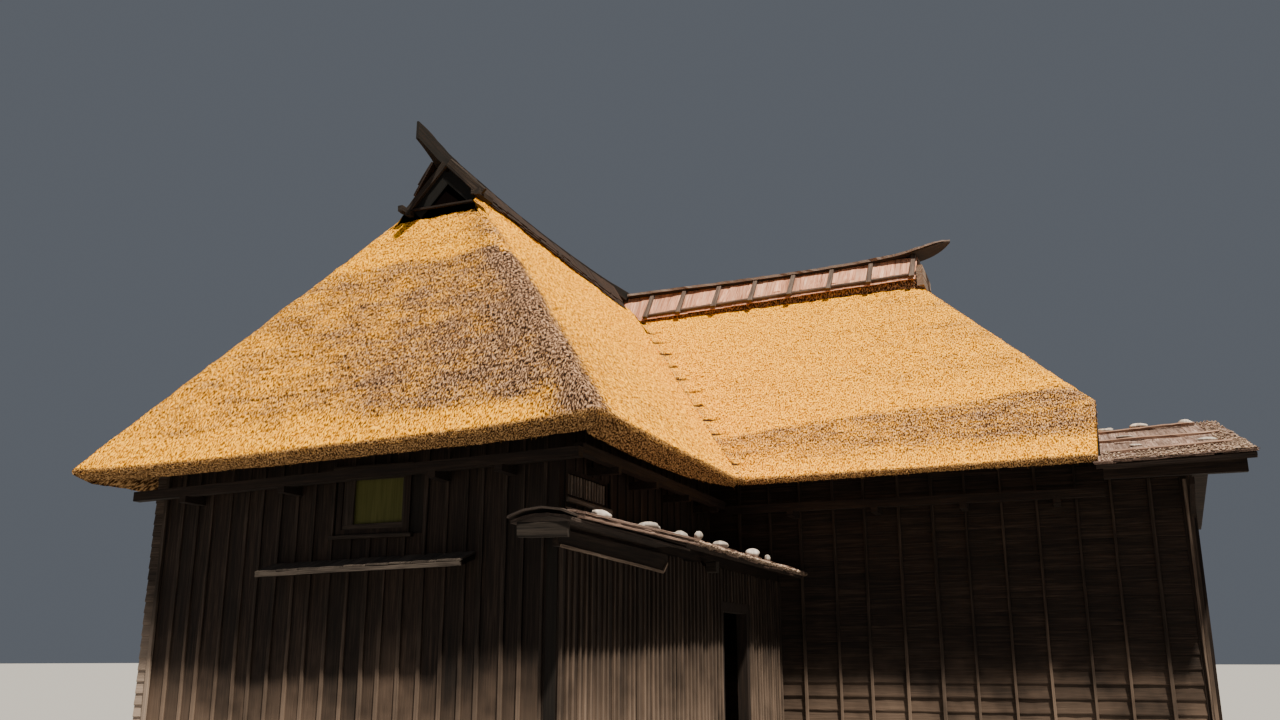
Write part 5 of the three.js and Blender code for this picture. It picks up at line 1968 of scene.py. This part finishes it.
    def hood(self) -> None:
        """Worn boards over the hood across the front wall, and the lip along its edge."""
        low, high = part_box("front_hood")
        edges = np.linspace(low.x - 0.01, high.x + 0.01, 10)
        middle = (edges[:-1] + edges[1:]) / 2
        rise = 0.022
        climb = rise * (middle - low.x)
        boards = Members(places(middle, -5.345, 2.491 + climb), places(middle, -5.02, 2.599 + climb),
                         places(np.diff(edges) - 0.006, 0, 0), (0, 0, 0.018), 7, 0.004, 0.003, SEED + 4)
        lip = Members((low.x, -5.332, 2.458), (high.x, -5.332, 2.458 + rise * (high.x - low.x)),
                      (0, 0.03, 0), (0, 0, 0.045), 16, 0.006, 0.003, SEED + 5)
        build("hood_boards", [boards, lip], "hood_boards")

    def make(self) -> None:
        """Builds the cladding and the windows' bars."""
        self.cladding()
        self.corners()
        self.window()
        self.lattice()
        self.hood()


@dataclass(frozen=True)
class BarkRoof:
    """A low roof plane covered with rough bark sheets.

    A point at run u along the eave and step t up the slope is corner + u along + t up, and the
    sheets lie on it side by side, each from a ragged eave end upwards.

    Attributes:
        corner: Where the eave starts.
        along: Direction of the eave.
        up: Direction up the slope.
        length: Length of the eave.
    """

    corner: Vector3
    along: Vector3
    up: Vector3
    length: float

    @property
    def ways(self) -> tuple[Array, Array, Array]:
        """Unit directions along the eave, up the slope and out of the roof."""
        along, up = unit(np.array(self.along, float)), unit(np.array(self.up, float))
        out = unit(np.cross(along, up))
        return along, up, out * np.sign(out[2])

    def at(self, run: Array, step: Array, off: Array) -> Array:
        """Points at runs along the eave, steps up the slope, and distances off the roof.

        Args:
            run: How far along the eave.
            step: How far up the slope.
            off: How far off the roof.
        Returns:
            The points.
        """
        shares = zip(np.broadcast_arrays(np.asarray(run, float), step, off), self.ways)
        return np.array(self.corner) + sum(share[..., None] * way for share, way in shares)

    def sheets(self, width: float, low: float, high: float, past: float, off: float, thick: float,
               seed: int) -> Members:
        """One course of bark sheets.

        Args:
            width: Mean width.
            low: Where their lower ends lie up the slope.
            high: Where their upper ends lie.
            past: How far the lower ends may reach past low.
            off: Distance off the roof.
            thick: Mean thickness.
            seed: Which random values.
        Returns:
            The sheets.
        """
        along, _, out = self.ways
        random = np.random.default_rng(seed)
        edges = cuts(0, self.length, width, 0.35, seed)
        count = len(edges) - 1
        middle = (edges[:-1] + edges[1:]) / 2
        wide = np.diff(edges) + 0.03
        lean = random.uniform(-0.02, 0.02, count)
        lowered = low - random.uniform(0, past, count)
        start = self.at(middle + lean, lowered, off + random.uniform(0, thick, count))
        end = self.at(middle - lean, high, off - 0.004 + random.uniform(0, 0.4 * thick, count))
        return Members(start, end, wide[:, None] * along, thick * random.uniform(0.7, 1.3, (count, 1)) * out,
                       10, 0.007, 0.006, seed, 0.97)

    def crumbs(self, count: int, low: float, high: float, size: float, seed: int, start: float = 0.0,
               lift: float = 0.0) -> Stones:
        """Rough crumbs of moss and bark scattered between two steps up the slope.

        Args:
            count: How many.
            low: Their least step up the slope, where most of them lie.
            high: Their greatest step.
            size: Half their mean length.
            seed: Which random values.
            start: Where they start along the eave.
            lift: How far off the roof they lie.
        Returns:
            The crumbs.
        """
        random = np.random.default_rng(seed)
        run = random.uniform(start, self.length, count)
        step = low + (high - low) * random.uniform(0, 1, count) ** 1.6
        centres = self.at(run, step, lift + random.uniform(0.0, 0.022, count))
        sizes = size * random.uniform(0.5, 1.4, (count, 3)) * np.array([1, 1, 0.6])
        return Stones(centres, sizes, random.uniform(0, 6.3, count), 3, 5, 0.5, seed)


@dataclass(frozen=True)
class BarkRoofs:
    """The lean-to's and the end bay's bark roofs with their edges, battens and stones.

    Attributes:
        form: The roof's form.
        stones: Stones on the lean-to, each a middle, half its length and half its height.
        end_stones: The same for the end bay.
        bay_pitch: Rise of the end bay's roof.
        tucked: How far the end bay's bark runs in under the thatch.
    """

    form: RoofForm = RoofForm()
    stones: tuple[tuple[float, float, float, float, float], ...] = (
        (0.80, -6.80, 2.735, 0.122, 0.048), (0.80, -5.67, 2.745, 0.170, 0.050),
        (0.80, -4.99, 2.735, 0.095, 0.032), (0.78, -4.69, 2.775, 0.110, 0.047),
        (0.74, -4.04, 2.835, 0.075, 0.050), (0.80, -3.47, 2.785, 0.145, 0.048),
        (0.78, -2.10, 2.815, 0.145, 0.055), (0.82, -1.54, 2.795, 0.062, 0.045))
    end_stones: tuple[tuple[float, float, float, float, float], ...] = (
        (5.05, 3.18, 5.00, 0.13, 0.050), (5.54, 3.18, 5.04, 0.145, 0.055), (6.19, 3.18, 5.05, 0.11, 0.050),
        (6.21, 0.73, 4.35, 0.135, 0.035), (5.27, 1.93, 4.66, 0.14, 0.024), (5.35, 0.68, 4.32, 0.085, 0.022),
        (5.40, 5.60, 4.47, 0.13, 0.050), (6.10, 5.50, 4.51, 0.12, 0.045))
    bay_pitch: float = 0.273
    tucked: float = 0.10

    def lean_to(self) -> None:
        """The lean-to's bark roof up the wing's wall, with its crumbling eave."""
        near = -4.87
        roof = BarkRoof((0.89, near, 2.70), (0, 1, 0), (-1, 0, 0.30), -near - 0.02)
        edge = BarkRoof((0.93, -5.95, 2.672), (0, 1, 0.02), (-1, 0, 0.15), 1.08)
        courses = ((0.26, 0.03, 1.40, 0.06, 0.004, 0.014), (0.20, 0.0, 0.75, 0.05, 0.018, 0.012),
                   (0.17, -0.005, 0.32, 0.05, 0.030, 0.012), (0.22, 0.03, 0.4, 0.08, -0.030, 0.014),
                   (0.22, 0.05, 0.4, 0.08, -0.052, 0.014))
        sheets = [roof.sheets(*course, SEED + i) for i, course in enumerate(courses)]
        build("lean_to_bark", sheets, "roof_bark")
        build("lean_to_crumbs", [roof.crumbs(820, -0.055, 0.15, 0.031, SEED + 5),
                                 roof.crumbs(340, -0.065, 0.0, 0.026, SEED + 6),
                                 edge.crumbs(240, 0.0, 0.16, 0.026, SEED + 7)], "roof_crumbs")

    def screen(self) -> None:
        """The narrow arched roof of the lean-to's near end: long worn planks under bark, near-black as
        painted shade.

        A sheet of bark is carried along its arch, from one edge over the crown to the other.
        """
        low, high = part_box("screen_roof")
        near, far, middle = low.y, high.y, (low.x + high.x) / 2
        build("screen_edge", [
            Members((high.x + aside, near + 0.10, z), (high.x + aside - 0.01, far + 0.30, z + 0.055 + lift),
                    (-0.09, 0, 0.012), (0, 0, 0.018), 30, 0.008, 0.005, SEED + int(1000 * z))
            for aside, z, lift in ((0.005, 2.632, 0.0), (-0.012, 2.653, 0.0), (0.002, 2.671, 0.0),
                                   (-0.07, 2.687, 0.008))], "roof_bark")
        edges = cuts(near - 0.02, far + 0.02, (far - near) / 17, 0.3, SEED + 8)
        at = (edges[:-1] + edges[1:]) / 2
        thick = np.random.default_rng(SEED).uniform(0.010, 0.018, len(at))
        arch = places(middle + np.array([-0.30, -0.275, -0.16, 0.0, 0.16, 0.255]), 0,
                      2.684 + np.array([-0.052, -0.040, 0.004, 0.022, 0.0, -0.040]))
        section = np.array([[-0.5, 0.0], [0.5, 0.0], [0.5, 1.0], [0.0, 1.15], [-0.5, 1.0]])
        rings = np.broadcast_to(arch[None, :, None], (len(at), 6, 5, 3)).copy()
        rings[..., 1] += at[:, None, None] + (np.diff(edges) + 0.02)[:, None, None] * section[:, 0]
        rings[..., 2] += thick[:, None, None] * section[:, 1]
        rings += 0.006 * shaken(rings, 0.12, SEED)
        aside = np.array([-0.228, -0.114, 0.0, 0.114, 0.228])
        under = 2.658 - 0.052 * (aside / 0.285) ** 2
        across = 0.122 * unit(places(1, 0, -0.365 * aside / 0.285))
        soffit = Members(places(middle + aside, near, under), places(middle + aside, far, under),
                         across, (0, 0, 0.026), 12, 0.003, 0.003, SEED + 2)
        # The planks and their soffit take a near-black finish: painted shade.
        build("screen_bark", [loft(rings, SEED), soffit], "old_shaded_bark", ["screen_roof"])
        end = Members((0.42, near + 0.02, 2.545), (0.86, near + 0.02, 2.535), (0, 0, 0.12), (0, -0.05, 0),
                      6, 0.004, 0.004)
        beam = Members((0.60, -3.31, 2.56), (0.72, -3.31, 2.56), (0, 0.11, 0), (0, 0, 0.12), 4, 0.003, 0.004)
        # The near end's boards and the beam are finished near-black as painted shade.
        build("lean_to_end_boards", [end, beam], "shaded_ends")
        x, bend, bend_z = 0.612, -4.79, 2.402
        lath = Members([(x, -7.19, 2.452), (x, bend, bend_z)], [(x, bend, bend_z), (x, -4.665, 2.50)],
                       (0.022, 0, 0), (0, 0, 0.024), 14, 0.003, 0.002, SEED + 3)
        # The lath's pale finish paints sunlight on the eave board's lower edge, which lies in the roof's
        # shade.
        build("eave_board_lath", [lath], "worn_and_lit_timber")

    def rocks(self) -> None:
        """The stones that hold the bark down on both roofs."""
        made = []
        for rows, wide, deep, turns, seed in ((self.stones, 0.6, 1.0, (-0.25, 0.3), SEED),
                                              (self.end_stones, 1.0, 0.7, (0, 0.6), SEED + 2)):
            x, y, z, half, tall = np.array(rows).T
            made.append(Stones(places(x, y, z), places(wide * half, deep * half, tall),
                               np.linspace(*turns, len(rows)), 12, 18, 0.34, seed))
        build("roof_stones", made, "river_stone", smooth=True)

    def end_bay(self) -> None:
        """The end bay's two slopes of bark, with crumbs, battens and a lath under each eave."""
        low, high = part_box("end_roof_front")
        middle, slope = self.form.ridge_y, self.bay_pitch
        length, run = high.x - low.x + self.tucked, math.hypot(1, slope) * (middle - low.y)
        courses = ((0.02, run - 0.01, 0.004), (0.0, 1.3, 0.018), (-0.01, 0.5, 0.030), (0.95, 2.4, 0.026),
                   (2.05, run - 0.02, 0.022))
        sheets, crumbs, sticks, edges = [], [], [], []
        for side, seed, low_count, verge_count in ((1, SEED, 680, 460), (-1, SEED + 20, 250, 150)):
            eave = low.y if side > 0 else 2 * middle - low.y
            roof = BarkRoof((low.x - self.tucked, eave, 3.882), (1, 0, 0.03), (0, side, slope), length)
            _, up, out = roof.ways
            sheets += [roof.sheets(0.17, foot, head, 0.05, off, 0.013, seed + i)
                       for i, (foot, head, off) in enumerate(courses)]
            crumbs += [roof.crumbs(low_count, -0.03, 1.1, 0.022, seed + 6, 0.1, 0.034),
                       roof.crumbs(verge_count, -0.02, run, 0.022, seed + 7, length - 0.26, 0.034)]
            steps = np.array([0.82, 2.28, 3.84])
            sticks.append(Members(roof.at((0.22, 0.1, 0.1), steps, 0.058),
                                  roof.at((1.65, 1.67, 1.51), steps + 0.03, 0.058), up * 0.12, out * 0.04,
                                  14, 0.012, 0.006, seed))
            edges.append(Members(roof.at(0.02, 0.0, -0.030), roof.at(length, 0.0, -0.030),
                                 up * 0.03, out * 0.045, 12, 0.006, 0.004, seed + 2))
        build("end_roof_bark", sheets, "roof_bark")
        build("end_roof_crumbs", crumbs, "roof_crumbs")
        build("end_roof_battens", sticks, "roof_battens")
        # The laths under the eaves take the near-black bark finish, painted shade.
        build("end_roof_edges", edges, "old_shaded_bark")

    def make(self) -> None:
        """Builds the bark roofs, their stones and boards."""
        self.lean_to()
        self.screen()
        self.rocks()
        self.end_bay()


def dress_frame() -> None:
    """Gives every node of the frame that stays visible its own procedural timber, bark or paper."""
    along_x = ("front_hood", "front_eave_beam", "main_eave_beam", "gable_sill", "end_front_purlin",
               "end_ridge_purlin", "end_back_purlin")
    along_y = ("inner_eave_beam", "lean_to_plate", "eave_board", "end_tie_beam")
    grains = {**dict.fromkeys(along_x, Grain.ALONG_X), **dict.fromkeys(along_y, Grain.ALONG_Y)}
    # The frame's dark timber is smoke-dark with painted shade.
    kinds = {"wall_boards": "wall_core", "dark_timber": "smoke_and_shade_timber", "bark_roof": "shaded_bark_core",
             "window_sheet": "window_paper"}
    # The bark roofs' undersides are finished near-black as painted shade.
    for row in frame["record"]["subparts"]:
        name, slot = row["node"], row["material_slot"]
        if slot in kinds:
            grain = grains.get(name, Grain.ALONG_X if slot == "bark_roof" else Grain.ALONG_Z)
            finish = FINISHES[kinds[slot]].material(grain)
            piece = frame["nodes"][name]
            if len(piece.material_slots) == 0:
                piece.data.materials.append(finish)
            for place in piece.material_slots:
                place.material = finish


@dataclass(frozen=True)
class Studio:
    """The camera, the lights and the floor around the house.

    Attributes:
        eye: Place of the camera.
        climb: How far it looks up, in degrees.
        turn: How far it looks to the left, in degrees.
        lens: Its focal length in millimetres.
        floor: Half the floor's size.
    """

    eye: Vector3 = (4.62, -15.6, 1.55)
    climb: float = 14.9
    turn: float = 21.5
    lens: float = 31.67
    floor: float = 400.0

    def camera(self) -> None:
        """Makes the camera."""
        data = bpy.data.cameras.new("camera")
        data.lens = self.lens
        data.clip_end = 2000
        camera = bpy.data.objects.new("camera", data)
        camera.location = self.eye
        camera.rotation_euler = (math.radians(90 + self.climb), 0, math.radians(self.turn))
        bpy.context.scene.collection.objects.link(camera)
        bpy.context.scene.camera = camera

    def lamp(self, name: str, power: float, colour: Colour, way: Vector3, width: float) -> None:
        """Makes a far lamp whose light runs one way and comes from a soft disc.

        Args:
            name: The lamp's name.
            power: Its strength.
            colour: Its colour.
            way: The way its light runs.
            width: How wide the disc looks, in degrees.
        """
        data = bpy.data.lights.new(name, "SUN")
        data.energy = power
        data.color = colour
        data.angle = math.radians(width)
        lamp = bpy.data.objects.new(name, data)
        across, deep, down = way
        lamp.rotation_euler = (math.acos(-down / math.dist(way, (0, 0, 0))), 0, math.atan2(-across, deep))
        bpy.context.scene.collection.objects.link(lamp)

    def lights(self) -> None:
        """A warm key lamp from the front right, a faint fill and a pale room."""
        self.lamp("key", 12.0, (1.0, 0.90, 0.74), (-0.39, 0.28, -1.0), 2.0)
        self.lamp("fill", 0.25, (0.85, 0.92, 1.0), (0.6, 0.5, -0.7), 60.0)
        world = bpy.data.worlds.new("room")
        bpy.context.scene.world = world
        world.use_nodes = True
        background = world.node_tree.nodes["Background"]
        background.inputs["Color"].default_value = (0.78, 0.86, 1.0, 1.0)
        background.inputs["Strength"].default_value = 0.14

    def ground(self) -> None:
        """A plain pale floor."""
        half = self.floor
        points = np.array([[-half, -half, 0], [half, -half, 0], [half, half, 0], [-half, half, 0]], float)
        mesh = bpy.data.meshes.new("floor")
        mesh.from_pydata(points.tolist(), [], [[0, 1, 2, 3]])
        floor = bpy.data.objects.new("floor", mesh)
        bpy.context.scene.collection.objects.link(floor)
        graph = Graph("floor")
        mesh.materials.append(graph.dress((0.25, 0.25, 0.25), 0.9))


def write_sizes() -> None:
    """Brings the scene's transforms up to date."""
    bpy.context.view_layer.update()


def main() -> None:
    """Builds the house piece by piece."""
    logging.basicConfig(level=logging.INFO, format="%(name)s %(message)s")
    studio = Studio()
    studio.camera()
    studio.lights()
    studio.ground()
    Thatch().make()
    Ridges().make()
    Walls().make()
    BarkRoofs().make()
    dress_frame()
    write_sizes()


if __name__ == "__main__":
    main()
